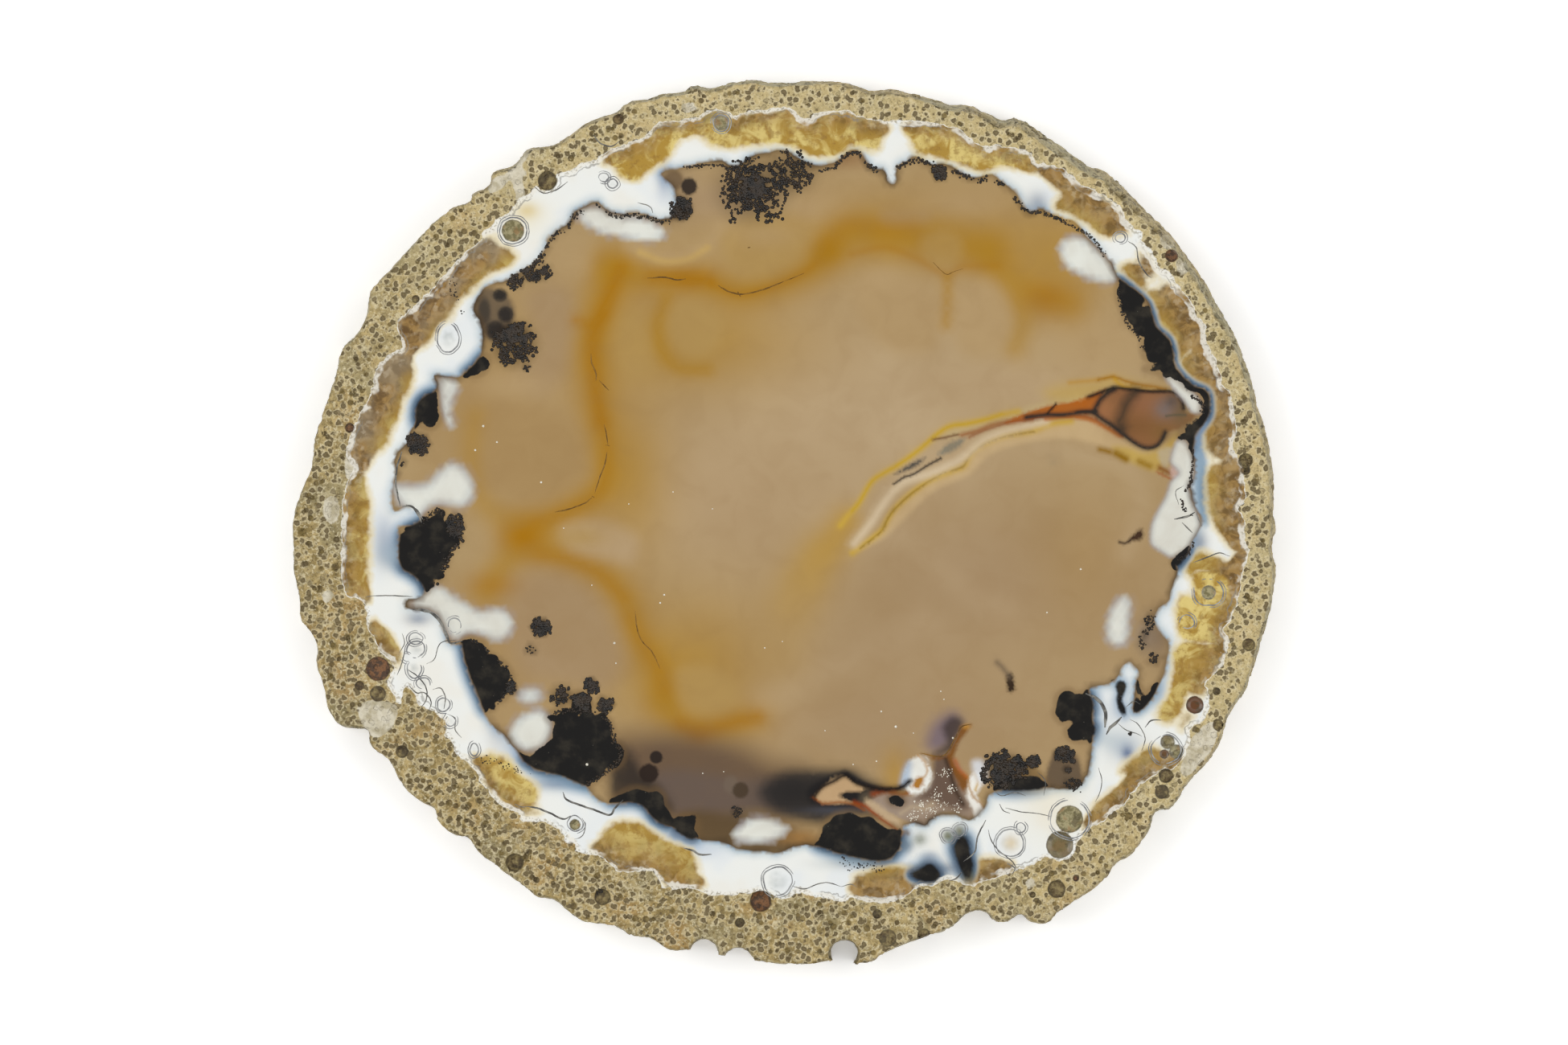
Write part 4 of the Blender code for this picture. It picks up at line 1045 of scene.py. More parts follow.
def fields(spots, rind, heart):
    """Every marking as values at the mesh's points: signed distances in pixels, and the soft stains."""
    wall = -level(spots, heart, 60)
    outer = -level(spots, rind, 60)
    mass = np.full(len(spots), -FAR)
    halo = mass
    ragged = np.ones(len(spots))
    for name, loop in MASSES.items():
        depth = level(spots, smooth(loop))
        halo = np.maximum(halo, depth - (8 if name in CRISP_MASSES else 0))
        ragged = np.where(depth > mass, 0.35 if name in ROUND_MASSES else 1.0, ragged)
        mass = np.maximum(mass, depth)
    gold = np.full(len(spots), -FAR)
    smoke = np.zeros(len(spots))
    for name, loop in GOLD.items():
        depth = level(spots, smooth(loop))
        smoke = np.where(depth > gold, SMOKY_BANDS.get(name, 0.0), smoke)
        gold = np.maximum(gold, depth)

    colour = np.tile(np.array(linear(HEART_TAN))[:3], (len(spots), 1))
    colour = stained(colour, spots, HEART_STAINS)
    colour = stained(colour, spots, TUBE_STAINS)
    for name, loop in CLOUDS.items():
        fade = CLOUD_FADES.get(name, CLOUD_FADE)
        depth = level(spots, smooth(loop)) / fade
        if name == "flame":
            colour = mixed(colour, "#C2A27A", ease(depth, -0.6, 0.6))
            continue
        colour = mixed(colour, "#A09A9C", ease(depth, -0.9, 0.2) * 0.8)
        colour = mixed(colour, "#CFD3CE", ease(depth, -0.4, 0.7) * 0.95)
        colour = mixed(colour, "#E6E7DD", ease(depth, 0.2, 1.5) * 0.9)
    # A dark stain fills each dendrite's patch: the dendrite's own dark colour, and painted shadow beneath its grains
    for x, y, wide, high, _, _, open_share in DENDRITES:
        apart = np.hypot((spots[:, 0] - x) / wide, (spots[:, 1] - y) / high)
        soft = 0.15 + open_share
        colour = mixed(colour, "#2A2017", ease(apart, 1 + soft, 1 - soft) * 0.9 * (1 - 0.9 * open_share))
    colour = stained(colour, spots, DRUSE_STAINS)
    dim = 0.5 + 0.5 * roughness(spots, 45, 6.2)
    colour = mixed(colour, "#5B452C", ease(wall, -9, 0) * 0.75 * np.clip(dim, 0, 1))
    colour = mixed(colour, "#2F251B", ease(wall, -4, 0) * 0.8 * np.clip(dim, 0, 1))
    colour = mixed(colour, "#6E5638", ease(mass, -9, -1) * 0.45)

    white = np.tile(np.array(linear(WALL_WHITE))[:3], (len(spots), 1))
    breath = roughness(spots, 60, 5.5)
    white = mixed(white, "#DDE3E8", ease(breath, 0.0, 0.6) * 0.45)
    white = mixed(white, "#EAE4D6", ease(-breath, 0.1, 0.7) * 0.40)
    tide = np.clip(0.55 + 0.7 * roughness(spots, 45, 1.5), 0, 1)
    white = mixed(white, "#B9C7CC", ease(wall, 15, 1) * (0.30 + 0.55 * tide))
    white = mixed(white, "#7490A8", ease(wall, 7, 0) * tide * 0.9)
    white = mixed(white, "#4A6076", ease(wall, 3, 0) * tide * 0.8)
    white = mixed(white, WALL_BLUE, ease(halo, -20, -4) * 0.85)
    white = mixed(white, WALL_NAVY, ease(halo, -11, -1) * 0.9)
    for x, y, wide, high in RINGS:
        apart = np.hypot((spots[:, 0] - x) / wide, (spots[:, 1] - y) / high)
        mottle = np.clip(0.6 + 0.7 * roughness(spots, 6, x), 0, 1) if wide > 8 else 0.4
        white = mixed(white, "#A9AFAC", ease(apart, 0.85, 0.3) * 0.55 * mottle)
    white = stained(white, spots, WALL_STAINS)
    colour = np.where((wall > 0)[:, None], white, colour)

    bubble = np.full(len(spots), -FAR)
    rust = np.zeros(len(spots))
    for x, y, radius, _, red in BUBBLES:
        depth = radius - np.hypot(spots[:, 0] - x, spots[:, 1] - y)
        rust = np.where(depth > bubble, red, rust)
        bubble = np.maximum(bubble, depth)
    pale = np.full(len(spots), -FAR)
    for loop in PALE_PATCHES:
        pale = np.maximum(pale, level(spots, smooth(loop)))
    return {"wall": wall, "rind": outer, "mass": mass, "ragged": ragged, "gold": gold, "smoke": smoke, "bubble": bubble, "rust": rust,
            "pale": pale, "stain": colour}


def new_piece(name, mesh):
    """A new object for the mesh, linked into the scene."""
    piece = bpy.data.objects.new(name, mesh)
    bpy.context.scene.collection.objects.link(piece)
    return piece


def add_node(tree, kind, inputs=(), **settings):
    """One node with its settings, its input values and its links."""
    made = tree.nodes.new(kind)
    for name, value in settings.items():
        setattr(made, name, value)
    for key, value in dict(inputs).items():
        if isinstance(value, bpy.types.NodeSocket):
            tree.links.new(value, made.inputs[key])
        else:
            made.inputs[key].default_value = value
    return made


class Painter:
    """Shorthands over one material's nodes. Sizes are in millimetres on the slice."""

    def __init__(self, name, polish):
        self.material = bpy.data.materials.new(name)
        self.material.use_nodes = True
        self.tree = self.material.node_tree
        self.shader = self.tree.nodes["Principled BSDF"]
        self.shader.inputs["Roughness"].default_value = polish
        self.coords = add_node(self.tree, "ShaderNodeTexCoord").outputs["Object"]

    def field(self, name, output="Fac"):
        return add_node(self.tree, "ShaderNodeAttribute", attribute_name=name).outputs[output]

    def sum(self, operation, *values):
        return add_node(self.tree, "ShaderNodeMath", enumerate(values), operation=operation).outputs[0]

    def noise(self, size, detail=2.0, rough=0.5, twist=0.0, output=0):
        inputs = {"Vector": self.coords, "Scale": 1000 / size, "Detail": detail, "Roughness": rough, "Distortion": twist}
        return add_node(self.tree, "ShaderNodeTexNoise", inputs).outputs[output]

    def warped(self, size, amount):
        """The coordinates pushed about by noise, the amount in millimetres."""
        push = add_node(self.tree, "ShaderNodeVectorMath", {0: self.noise(size, output=1), 1: (0.5,) * 3}, operation="SUBTRACT")
        reach = add_node(self.tree, "ShaderNodeVectorMath", {0: push.outputs[0], "Scale": amount / 500}, operation="SCALE")
        return add_node(self.tree, "ShaderNodeVectorMath", {0: self.coords, 1: reach.outputs[0]}, operation="ADD").outputs[0]

    def cells(self, size, feature="F1", output="Distance", coords=None):
        inputs = {"Vector": coords or self.coords, "Scale": 1000 / size}
        return add_node(self.tree, "ShaderNodeTexVoronoi", inputs, feature=feature).outputs[output]

    def step(self, value, low, high, bottom=0.0, top=1.0):
        inputs = {"Value": value, "From Min": low, "From Max": high, "To Min": bottom, "To Max": top}
        made = add_node(self.tree, "ShaderNodeMapRange", inputs, interpolation_type="SMOOTHSTEP")
        return made.outputs[0]

    def blend(self, factor, under, over):
        inputs = {0: factor, 6: self.paint(under), 7: self.paint(over)}
        return add_node(self.tree, "ShaderNodeMix", inputs, data_type="RGBA").outputs[2]

    def paint(self, colour):
        return linear(colour) if isinstance(colour, str) else colour

    def shift(self, value, amount, size, detail=2.0):
        """The value with noise added, half the amount each way."""
        wobble = self.sum("MULTIPLY_ADD", self.noise(size, detail), amount, -amount / 2)
        return self.sum("ADD", value, wobble)

    def axis(self, name):
        return add_node(self.tree, "ShaderNodeSeparateXYZ", {0: self.coords}).outputs[name]

    def finish(self, colour, height=None, bump=0.0):
        self.tree.links.new(colour, self.shader.inputs["Base Color"])
        if height is not None:
            inputs = {"Strength": 1.0, "Distance": bump, "Height": height}
            self.tree.links.new(add_node(self.tree, "ShaderNodeBump", inputs).outputs[0], self.shader.inputs["Normal"])
        return self.material


def porous_rind():
    """Weathered volcanic rind, sawn and lapped but too porous to shine."""
    p = Painter("porous_rind", 0.62)
    colour = p.blend(p.step(p.noise(0.7, 3.0, 0.6), 0.36, 0.64), "#B8A16A", "#85713D")
    colour = p.blend(p.step(p.noise(6.0, 3.0, 0.55, 0.4), 0.50, 0.64, 0.0, 0.55), colour, "#867E5C")
    colour = p.blend(p.step(p.noise(4.0, 2.0, 0.5), 0.54, 0.68, 0.0, 0.55), colour, "#A88446")
    colour = p.blend(p.step(p.noise(0.34, 2.0, 0.6), 0.52, 0.68, 0.0, 0.75), colour, "#D9CCA6")
    # Painted light: the upper-right side of the rind is painted paler, as the lit side, and the lower left stays darker
    painted_lit_side = p.sum("ADD", p.axis("X"), p.axis("Y"))
    colour = p.blend(p.step(painted_lit_side, -0.06, 0.04, 0.0, 0.62), colour, "#D4C18D")
    shaken = p.warped(0.5, 0.30)
    pores = p.cells(0.72, coords=shaken)
    some = p.step(p.cells(0.72, output="Color", coords=shaken), 0.18, 0.34)
    colour = p.blend(p.sum("MULTIPLY", p.step(pores, 0.66, 0.46, 0.0, 0.5), some), colour, "#DDD0A9")
    colour = p.blend(p.sum("MULTIPLY", p.step(pores, 0.48, 0.30, 0.0, 0.90), some), colour, "#66552F")
    colour = p.blend(p.step(p.noise(0.19, 2.0, 0.7), 0.55, 0.68, 0.0, 0.6), colour, "#5A4B2C")
    pale = p.shift(p.field("pale"), 4.0, 0.6, 3.0)
    vein = p.blend(p.step(p.noise(1.3, 3.0, 0.6), 0.35, 0.65), "#D9D1BB", "#B1A688")
    colour = p.blend(p.step(pale, -0.8, 1.0, 0.0, 0.95), colour, vein)
    near_wall = p.shift(p.field("rind"), 5.0, 0.5, 3.0)
    colour = p.blend(p.step(near_wall, 1.5, 0.2, 0.0, 0.85), colour, "#E9E6DC")
    skin = p.field("skin")
    skin_colour = p.blend(p.step(p.noise(1.6, 4.0, 0.7), 0.38, 0.62), SKIN_BROWN, "#B3A072")
    skin_colour = p.blend(p.step(p.noise(7.0, 2.0), 0.42, 0.62, 0.0, 0.5), skin_colour, "#8B8F78")
    skin_colour = p.blend(p.step(p.noise(0.5, 2.0, 0.6), 0.54, 0.66, 0.0, 0.85), skin_colour, "#463D29")
    colour = p.blend(p.step(skin, 0.2, 0.8, 0.0, 0.65), colour, skin_colour)
    # Painted shade: the rind turns darker brown the deeper a point lies below the face, in pores, dips and the rim's
    # pits; partly the pores' own brown fill
    pit = p.field("pit")
    floor = p.blend(p.step(p.noise(1.1), 0.4, 0.6), PORE_BROWN_AND_SHADE, "#85723F")
    colour = p.blend(p.step(pit, 0.2, 1.6, 0.0, 0.85), colour, floor)
    bubble = p.shift(p.field("bubble"), 1.6, 0.5)
    fill = p.blend(p.step(p.noise(0.5, 3.0, 0.6), 0.38, 0.64), "#584728", "#8A7A4E")
    fill = p.blend(p.step(p.noise(1.1, 2.0), 0.5, 0.62, 0.0, 0.7), fill, "#3B301C")
    rust = p.blend(p.step(p.noise(0.5, 3.0, 0.6), 0.42, 0.6), VESICLE_RUST, "#7C5431")
    fill = p.blend(p.step(p.field("rust"), 0.45, 0.9), fill, rust)
    fill = p.blend(p.step(p.field("bubble"), 3.0, 0.6, 0.0, 0.4), fill, "#2E281C")
    colour = p.blend(p.step(bubble, -0.7, 0.7), colour, fill)
    height = p.sum("ADD", p.noise(0.3, 3.0, 0.65), p.sum("MULTIPLY", p.step(pores, 0.2, 0.45), 0.8))
    return p.finish(colour, height, 0.00016)


def polished_chalcedony():
    """Lapped and polished chalcedony: white and gold in the wall, brown and amber in the heart."""
    p = Painter("polished_chalcedony", 0.16)
    p.shader.inputs["Specular IOR Level"].default_value = 0.4
    colour = p.field("stain", "Color")
    heart = p.step(p.field("wall"), 1.3, -1.3)
    in_wall = p.sum("SUBTRACT", 1.0, heart)
    milky = p.sum("MULTIPLY", p.step(colour, 0.05, 0.18), heart)
    haze = p.sum("MULTIPLY", p.step(p.noise(3.2, 3.0, 0.5, 0.6), 0.35, 0.75, 0.0, 0.14), milky)
    colour = p.blend(haze, colour, "#8F6E42")
    veils = p.cells(8.0, "SMOOTH_F1", coords=p.warped(5.0, 3.0))
    colour = p.blend(p.sum("MULTIPLY", p.step(veils, 0.15, 0.75, 0.0, 0.15), milky), colour, "#8C6C3C")

    depth = p.sum("MULTIPLY", p.field("rind"), -1.0)
    inner = p.shift(p.shift(depth, 12.0, 1.6), 5.0, 0.5)
    reach = p.sum("ADD", p.field("gold"), p.step(depth, 24.0, 7.0, 0.0, 13.0))
    edge = p.shift(p.shift(reach, 11.0, 2.2), 6.0, 0.6)
    gold = p.blend(p.step(p.noise(2.0, 3.0, 0.6, 0.8), 0.38, 0.60), "#DAC477", "#A9852F")
    gold = p.blend(p.step(p.noise(0.8, 3.0, 0.6), 0.50, 0.68, 0.0, 0.60), gold, "#8A6424")
    smoke = p.field("smoke")
    gold = p.blend(p.step(smoke, 0.1, 0.6, 0.0, 0.6), gold, "#99782F")
    smoky = p.blend(p.step(p.noise(1.3, 3.0, 0.6, 0.6), 0.38, 0.62), "#583B17", "#977540")
    grey = p.sum("MULTIPLY", p.step(smoke, 0.85, 0.95), p.step(p.noise(4.0, 2.0), 0.40, 0.60, 0.0, 0.8))
    smoky = p.blend(grey, smoky, "#7D6D56")
    frost = p.sum("MULTIPLY", p.step(p.shift(depth, 20.0, 2.0), 26.0, 12.0), p.step(p.noise(0.9, 3.0, 0.6), 0.52, 0.66))
    smoky = p.blend(p.sum("MULTIPLY", frost, 0.35), smoky, "#CBBDA4")
    rims = p.cells(2.3, "DISTANCE_TO_EDGE", coords=p.warped(1.4, 0.9))
    smoky = p.blend(p.step(rims, 0.16, 0.0, 0.0, 0.20), smoky, "#C6B08A")
    band = p.shift(inner, 16.0, 3.0)
    thick = p.sum("MULTIPLY", p.step(band, 46.0, 20.0, 0.0, 0.95), smoke)
    thin = p.sum("MULTIPLY", p.step(band, 22.0, 6.0, 0.0, 0.65), p.sum("SUBTRACT", 1.0, smoke))
    gold = p.blend(p.sum("ADD", thick, thin), gold, smoky)
    gold = p.blend(p.step(p.cells(0.5), 0.12, 0.04, 0.0, 0.5), gold, "#4F3A18")
    clear = p.sum("MULTIPLY", in_wall, p.step(p.field("mass"), -4.0, -12.0))
    straw = p.step(edge, -10.0, -1.0, 0.0, 0.60)
    colour = p.blend(p.sum("MULTIPLY", straw, clear), colour, "#DFCB92")
    colour = p.blend(p.sum("MULTIPLY", p.step(edge, -3.5, 4.0, 0.0, 0.96), clear), colour, gold)

    wide = p.step(p.sum("ADD", p.axis("X"), p.axis("Y")), 0.058, 0.066, 0.0, 5.0)
    crust = p.step(p.sum("SUBTRACT", p.shift(inner, 18.0, 5.0), wide), 5.5, 3.0)
    crust = p.sum("MULTIPLY", crust, p.step(p.noise(1.8), 0.38, 0.52))
    colour = p.blend(p.sum("MULTIPLY", p.sum("MULTIPLY", crust, 0.8), in_wall), colour, "#EAE6DA")
    frill = p.sum("ABSOLUTE", p.sum("SUBTRACT", inner, 5.2))
    frill = p.sum("MULTIPLY", p.step(frill, 1.2, 0.3, 0.0, 0.6), p.step(p.noise(2.4), 0.46, 0.58))
    colour = p.blend(p.sum("MULTIPLY", frill, in_wall), colour, "#84817A")
    crumbs = p.sum("MULTIPLY", p.step(p.shift(depth, 8.0, 1.0), 6.0, 0.0), p.step(p.noise(0.3, 2.0), 0.50, 0.60))
    colour = p.blend(p.sum("MULTIPLY", p.sum("MULTIPLY", crumbs, 0.75), in_wall), colour, "#9B917A")

    bubble = p.shift(p.field("bubble"), 2.0, 0.4)
    disc = p.blend(p.step(p.noise(0.5, 3.0, 0.65), 0.38, 0.60), "#77704F", "#A59C78")
    disc = p.blend(p.step(p.noise(1.0, 2.0), 0.52, 0.66, 0.0, 0.6), disc, "#8A6238")
    disc = p.blend(p.step(p.field("rust"), 0.05, 0.30, 0.0, 0.7), disc, "#6C5D3E")
    disc = p.blend(p.step(p.field("rust"), 0.5, 0.9), disc, "#66442C")
    disc = p.blend(p.step(p.noise(0.9, 2.0, 0.6, 0.5), 0.52, 0.64, 0.0, 0.6), disc, "#4C4432")
    disc = p.blend(p.step(p.field("bubble"), 2.6, 0.6, 0.0, 0.4), disc, "#48443A")
    colour = p.blend(p.step(bubble, -0.8, 0.8), colour, disc)

    knobs = p.sum("MULTIPLY_ADD", p.cells(1.35), -12.0, 5.6)
    grit = p.sum("MULTIPLY_ADD", p.noise(0.3, 3.0, 0.6), 3.6, -1.8)
    seam = p.step(p.field("wall"), -8.0, -1.0, 0.0, 5.0)
    lumps = p.sum("MULTIPLY", p.sum("ADD", knobs, grit), p.field("ragged"))
    crisp = p.step(p.sum("ADD", p.sum("ADD", p.field("mass"), seam), lumps), -0.8, 0.8)
    soft = p.step(p.shift(p.field("mass"), 3.0, 0.8), -3.0, 1.5)
    cover = p.sum("ADD", p.sum("MULTIPLY", crisp, heart), p.sum("MULTIPLY", soft, in_wall))
    black = p.blend(p.step(p.noise(2.0, 3.0, 0.55), 0.46, 0.74), MASS_BLACK, MASS_BROWN)
    black = p.blend(p.step(p.cells(0.9), 0.06, 0.03, 0.0, 0.35), black, "#8A8676")
    colour = p.blend(cover, colour, black)
    return p.finish(colour)


def inlay_finish(name, low, high, size, polish=0.25):
    """The finish of a thin inlay, flush with the polish: two tones of one mineral."""
    p = Painter(name, polish)
    return p.finish(p.blend(p.step(p.noise(size, 2.0), 0.35, 0.65), low, high))


def build_stone(settings):
    """The whole slice as one closed mesh, its markings carried by point attributes."""
    outline, rind, heart = face_loops()
    rows = rim_rows(outline)
    count = len(outline)
    front = front_plan(settings, rows[0][0], rind, heart).mesh(count)
    back = back_plan(settings, rows[-1][0], rind, heart).mesh(count)

    spots = [front[0]]
    heights = [FACE_Z - front[1] * METRES_PER_PIXEL]
    pits = [front[1]]
    skins = [np.zeros(len(front[0]))]
    corners = [front[2]]
    loops = [front[3]]
    start = len(front[0])
    for row, z, hollow in rows[1:-1]:
        spots.append(row)
        heights.append(np.full(count, z))
        pits.append(hollow)
        skins.append(np.ones(count))
        loops.append(start + np.arange(count))
        start += count
    spots.append(back[0])
    heights.append(np.zeros(len(back[0])))
    pits.append(np.zeros(len(back[0])))
    skins.append(np.zeros(len(back[0])))
    corners.append(back[2][:, ::-1] + start)
    loops.append(back[3] + start)
    for upper, lower in zip(loops, loops[1:]):
        next_upper, next_lower = np.roll(upper, -1), np.roll(lower, -1)
        corners.append(np.stack([upper, next_upper, lower], 1))
        corners.append(np.stack([next_upper, next_lower, lower], 1))
    spots, heights = np.vstack(spots), np.concatenate(heights)
    corners = np.vstack(corners)

    points = np.stack([*place(spots[:, 0], spots[:, 1], heights)], 1)
    mesh = bpy.data.meshes.new("agate_stone")
    mesh.from_pydata(points.tolist(), [], corners.tolist())
    edit = bmesh.new()
    edit.from_mesh(mesh)
    bmesh.ops.recalc_face_normals(edit, faces=edit.faces)
    edit.to_mesh(mesh)
    edit.free()

    values = fields(spots, rind, heart)
    values["pit"] = np.concatenate(pits)
    values["skin"] = np.concatenate(skins)
    for name, value in values.items():
        if name == "stain":
            attribute = mesh.attributes.new(name, "FLOAT_COLOR", "POINT")
            attribute.data.foreach_set("color", np.hstack([value, np.ones((len(value), 1))]).ravel())
        else:
            mesh.attributes.new(name, "FLOAT", "POINT").data.foreach_set("value", value)

    mesh.materials.append(porous_rind())
    mesh.materials.append(polished_chalcedony())
    corners = np.empty(len(mesh.polygons) * 3, np.int32)
    mesh.polygons.foreach_get("vertices", corners)
    corners = corners.reshape(-1, 3)
    polished = inside(spots[corners].mean(1), rind) & (values["skin"][corners].max(1) < 0.5)
    mesh.polygons.foreach_set("material_index", polished.astype(np.int32))
    mesh.polygons.foreach_set("use_smooth", np.ones(len(mesh.polygons), bool))
    mesh.update()
    stone = new_piece("agate_stone", mesh)
    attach(stone, "root")
    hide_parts("agate_slice")
    return stone


def node_group(name, sockets):
    """A geometry node group with named inputs, and its input and output nodes."""
    tree = bpy.data.node_groups.new(name, "GeometryNodeTree")
    tree.interface.new_socket("Geometry", in_out="INPUT", socket_type="NodeSocketGeometry")
    for label, kind, value in sockets:
        socket = tree.interface.new_socket(label, in_out="INPUT", socket_type=kind)
        if value is not None:
            socket.default_value = value
    tree.interface.new_socket("Geometry", in_out="OUTPUT", socket_type="NodeSocketGeometry")
    return tree, tree.nodes.new("NodeGroupInput").outputs, tree.nodes.new("NodeGroupOutput").inputs


def close_group(tree, made, given, taken, smooth_faces=True):
    """Realizes, shades smooth and sets the finish, which ends every group."""
    real = add_node(tree, "GeometryNodeRealizeInstances", {"Geometry": made}).outputs[0]
    shaded = add_node(tree, "GeometryNodeSetShadeSmooth", {"Geometry": real, "Shade Smooth": smooth_faces}).outputs[0]
    finished = add_node(tree, "GeometryNodeSetMaterial", {"Geometry": shaded, "Material": given["Finish"]}).outputs[0]
    tree.links.new(finished, taken["Geometry"])
    return tree


def grain_group():
    """A small flattened grain on every point, as big as the point's grain value says, turned at random."""
    tree, given, taken = node_group("flush_grains", (
        ("Grain Height", "NodeSocketFloat", 0.00002),
        ("Size Spread", "NodeSocketFloat", 0.3),
        ("Seed", "NodeSocketInt", 1),
        ("Finish", "NodeSocketMaterial", None),
    ))
    size = add_node(tree, "GeometryNodeInputNamedAttribute", {"Name": "grain"}, data_type="FLOAT").outputs[0]
    least = add_node(tree, "ShaderNodeMath", {0: 1.0, 1: given["Size Spread"]}, operation="SUBTRACT").outputs[0]
    most = add_node(tree, "ShaderNodeMath", {0: 1.0, 1: given["Size Spread"]}, operation="ADD").outputs[0]
    spread = add_node(tree, "FunctionNodeRandomValue", {2: least, 3: most, 8: given["Seed"]}).outputs[1]
    radius = add_node(tree, "ShaderNodeMath", {0: size, 1: spread}, operation="MULTIPLY").outputs[0]
    scale = add_node(tree, "ShaderNodeCombineXYZ", {0: radius, 1: radius, 2: given["Grain Height"]}).outputs[0]
    turn = add_node(tree, "FunctionNodeRandomValue", {2: 0.0, 3: math.tau, 8: given["Seed"]}).outputs[1]
    spin = add_node(tree, "FunctionNodeAxisAngleToRotation", {"Axis": (0, 0, 1), "Angle": turn}).outputs[0]
    grain = add_node(tree, "GeometryNodeMeshIcoSphere", {"Radius": 1.0, "Subdivisions": 1}).outputs[0]
    inputs = {"Points": given["Geometry"], "Instance": grain, "Rotation": spin, "Scale": scale}
    grains = add_node(tree, "GeometryNodeInstanceOnPoints", inputs).outputs[0]
    return close_group(tree, grains, given, taken)


def line_group():
    """A flattened thread along every curve, as thick as the curve's own radius says, with a fine wobble."""
    tree, given, taken = node_group("flush_threads", (
        ("Step", "NodeSocketFloat", 0.00015),
        ("Wobble", "NodeSocketFloat", 0.00008),
        ("Wobble Size", "NodeSocketFloat", 0.0006),
        ("Flatness", "NodeSocketFloat", 0.15),
        ("Finish", "NodeSocketMaterial", None),
    ))
    inputs = {"Curve": given["Geometry"], "Length": given["Step"]}
    fine = add_node(tree, "GeometryNodeResampleCurve", inputs, mode="LENGTH").outputs[0]
    place_node = add_node(tree, "GeometryNodeInputPosition").outputs[0]
    density = add_node(tree, "ShaderNodeMath", {0: 1.0, 1: given["Wobble Size"]}, operation="DIVIDE").outputs[0]
    push = add_node(tree, "ShaderNodeTexNoise", {"Vector": place_node, "Scale": density, "Detail": 2.0}).outputs[1]
    centred = add_node(tree, "ShaderNodeVectorMath", {0: push, 1: (0.5, 0.5, 0.5)}, operation="SUBTRACT").outputs[0]
    inputs = {0: centred, "Scale": given["Wobble"]}
    offset = add_node(tree, "ShaderNodeVectorMath", inputs, operation="SCALE").outputs[0]
    inputs = {"Geometry": fine, "Offset": offset}
    shaken = add_node(tree, "GeometryNodeSetPosition", inputs).outputs[0]
    thickness = add_node(tree, "GeometryNodeInputRadius").outputs[0]
    profile = add_node(tree, "GeometryNodeCurvePrimitiveCircle", {"Resolution": 6, "Radius": 1.0}).outputs[0]
    inputs = {"Curve": shaken, "Profile Curve": profile, "Scale": thickness, "Fill Caps": True}
    thread = add_node(tree, "GeometryNodeCurveToMesh", inputs).outputs[0]
    squash = add_node(tree, "ShaderNodeCombineXYZ", {0: 1.0, 1: 1.0, 2: given["Flatness"]}).outputs[0]
    flat = add_node(tree, "GeometryNodeTransform", {"Geometry": thread, "Scale": squash}).outputs[0]
    raised = add_node(tree, "GeometryNodeTransform", {"Geometry": flat, "Translation": (0, 0, FACE_Z)}).outputs[0]
    return close_group(tree, raised, given, taken)


def grown_piece(name, source, tree, values):
    """Runs a node group over a source object and keeps the result as a plain piece that rides on the slice."""
    bpy.context.scene.collection.objects.link(source)
    modifier = source.modifiers.new(name, "NODES")
    modifier.node_group = tree
    for item in tree.interface.items_tree:
        if item.in_out == "INPUT" and item.name in values:
            modifier[item.identifier] = values[item.name]
    graph = bpy.context.evaluated_depsgraph_get()
    mesh = bpy.data.meshes.new_from_object(source.evaluated_get(graph), depsgraph=graph)
    bpy.data.objects.remove(source)
    if not mesh.polygons:
        raise RuntimeError(f"{name} came out empty")
    mesh.name = name
    piece = new_piece(name, mesh)
    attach(piece, "root")
    return piece


def point_source(name, spots, sizes):
    """A mesh of loose points on the face, each with the size its grain is to have."""
    mesh = bpy.data.meshes.new(name)
    mesh.from_pydata([place(x, y) for x, y in spots], [], [])
    grain = mesh.attributes.new("grain", "FLOAT", "POINT")
    grain.data.foreach_set("value", np.array(sizes) * METRES_PER_PIXEL)
    return bpy.data.objects.new(name, mesh)


def curve_source(name, lines):
    """A curve object with one smooth line per entry, its radius in metres tapering to the ends."""
    curve = bpy.data.curves.new(name, "CURVE")
    curve.dimensions = "3D"
    for radius, path, closed in lines:
        line = smooth(path, closed, 2.0)
        spline = curve.splines.new("POLY")
        spline.points.add(len(line) - 1)
        spline.use_cyclic_u = closed
        for index, (point, (x, y)) in enumerate(zip(spline.points, line)):
            taper = 1.0 if closed else min(1.0, 0.35 + min(index, len(line) - 1 - index) * 0.12)
            point.co = (*place(x, y, 0.0), 1.0)
            point.radius = radius * METRES_PER_PIXEL * taper
    return bpy.data.objects.new(name, curve)


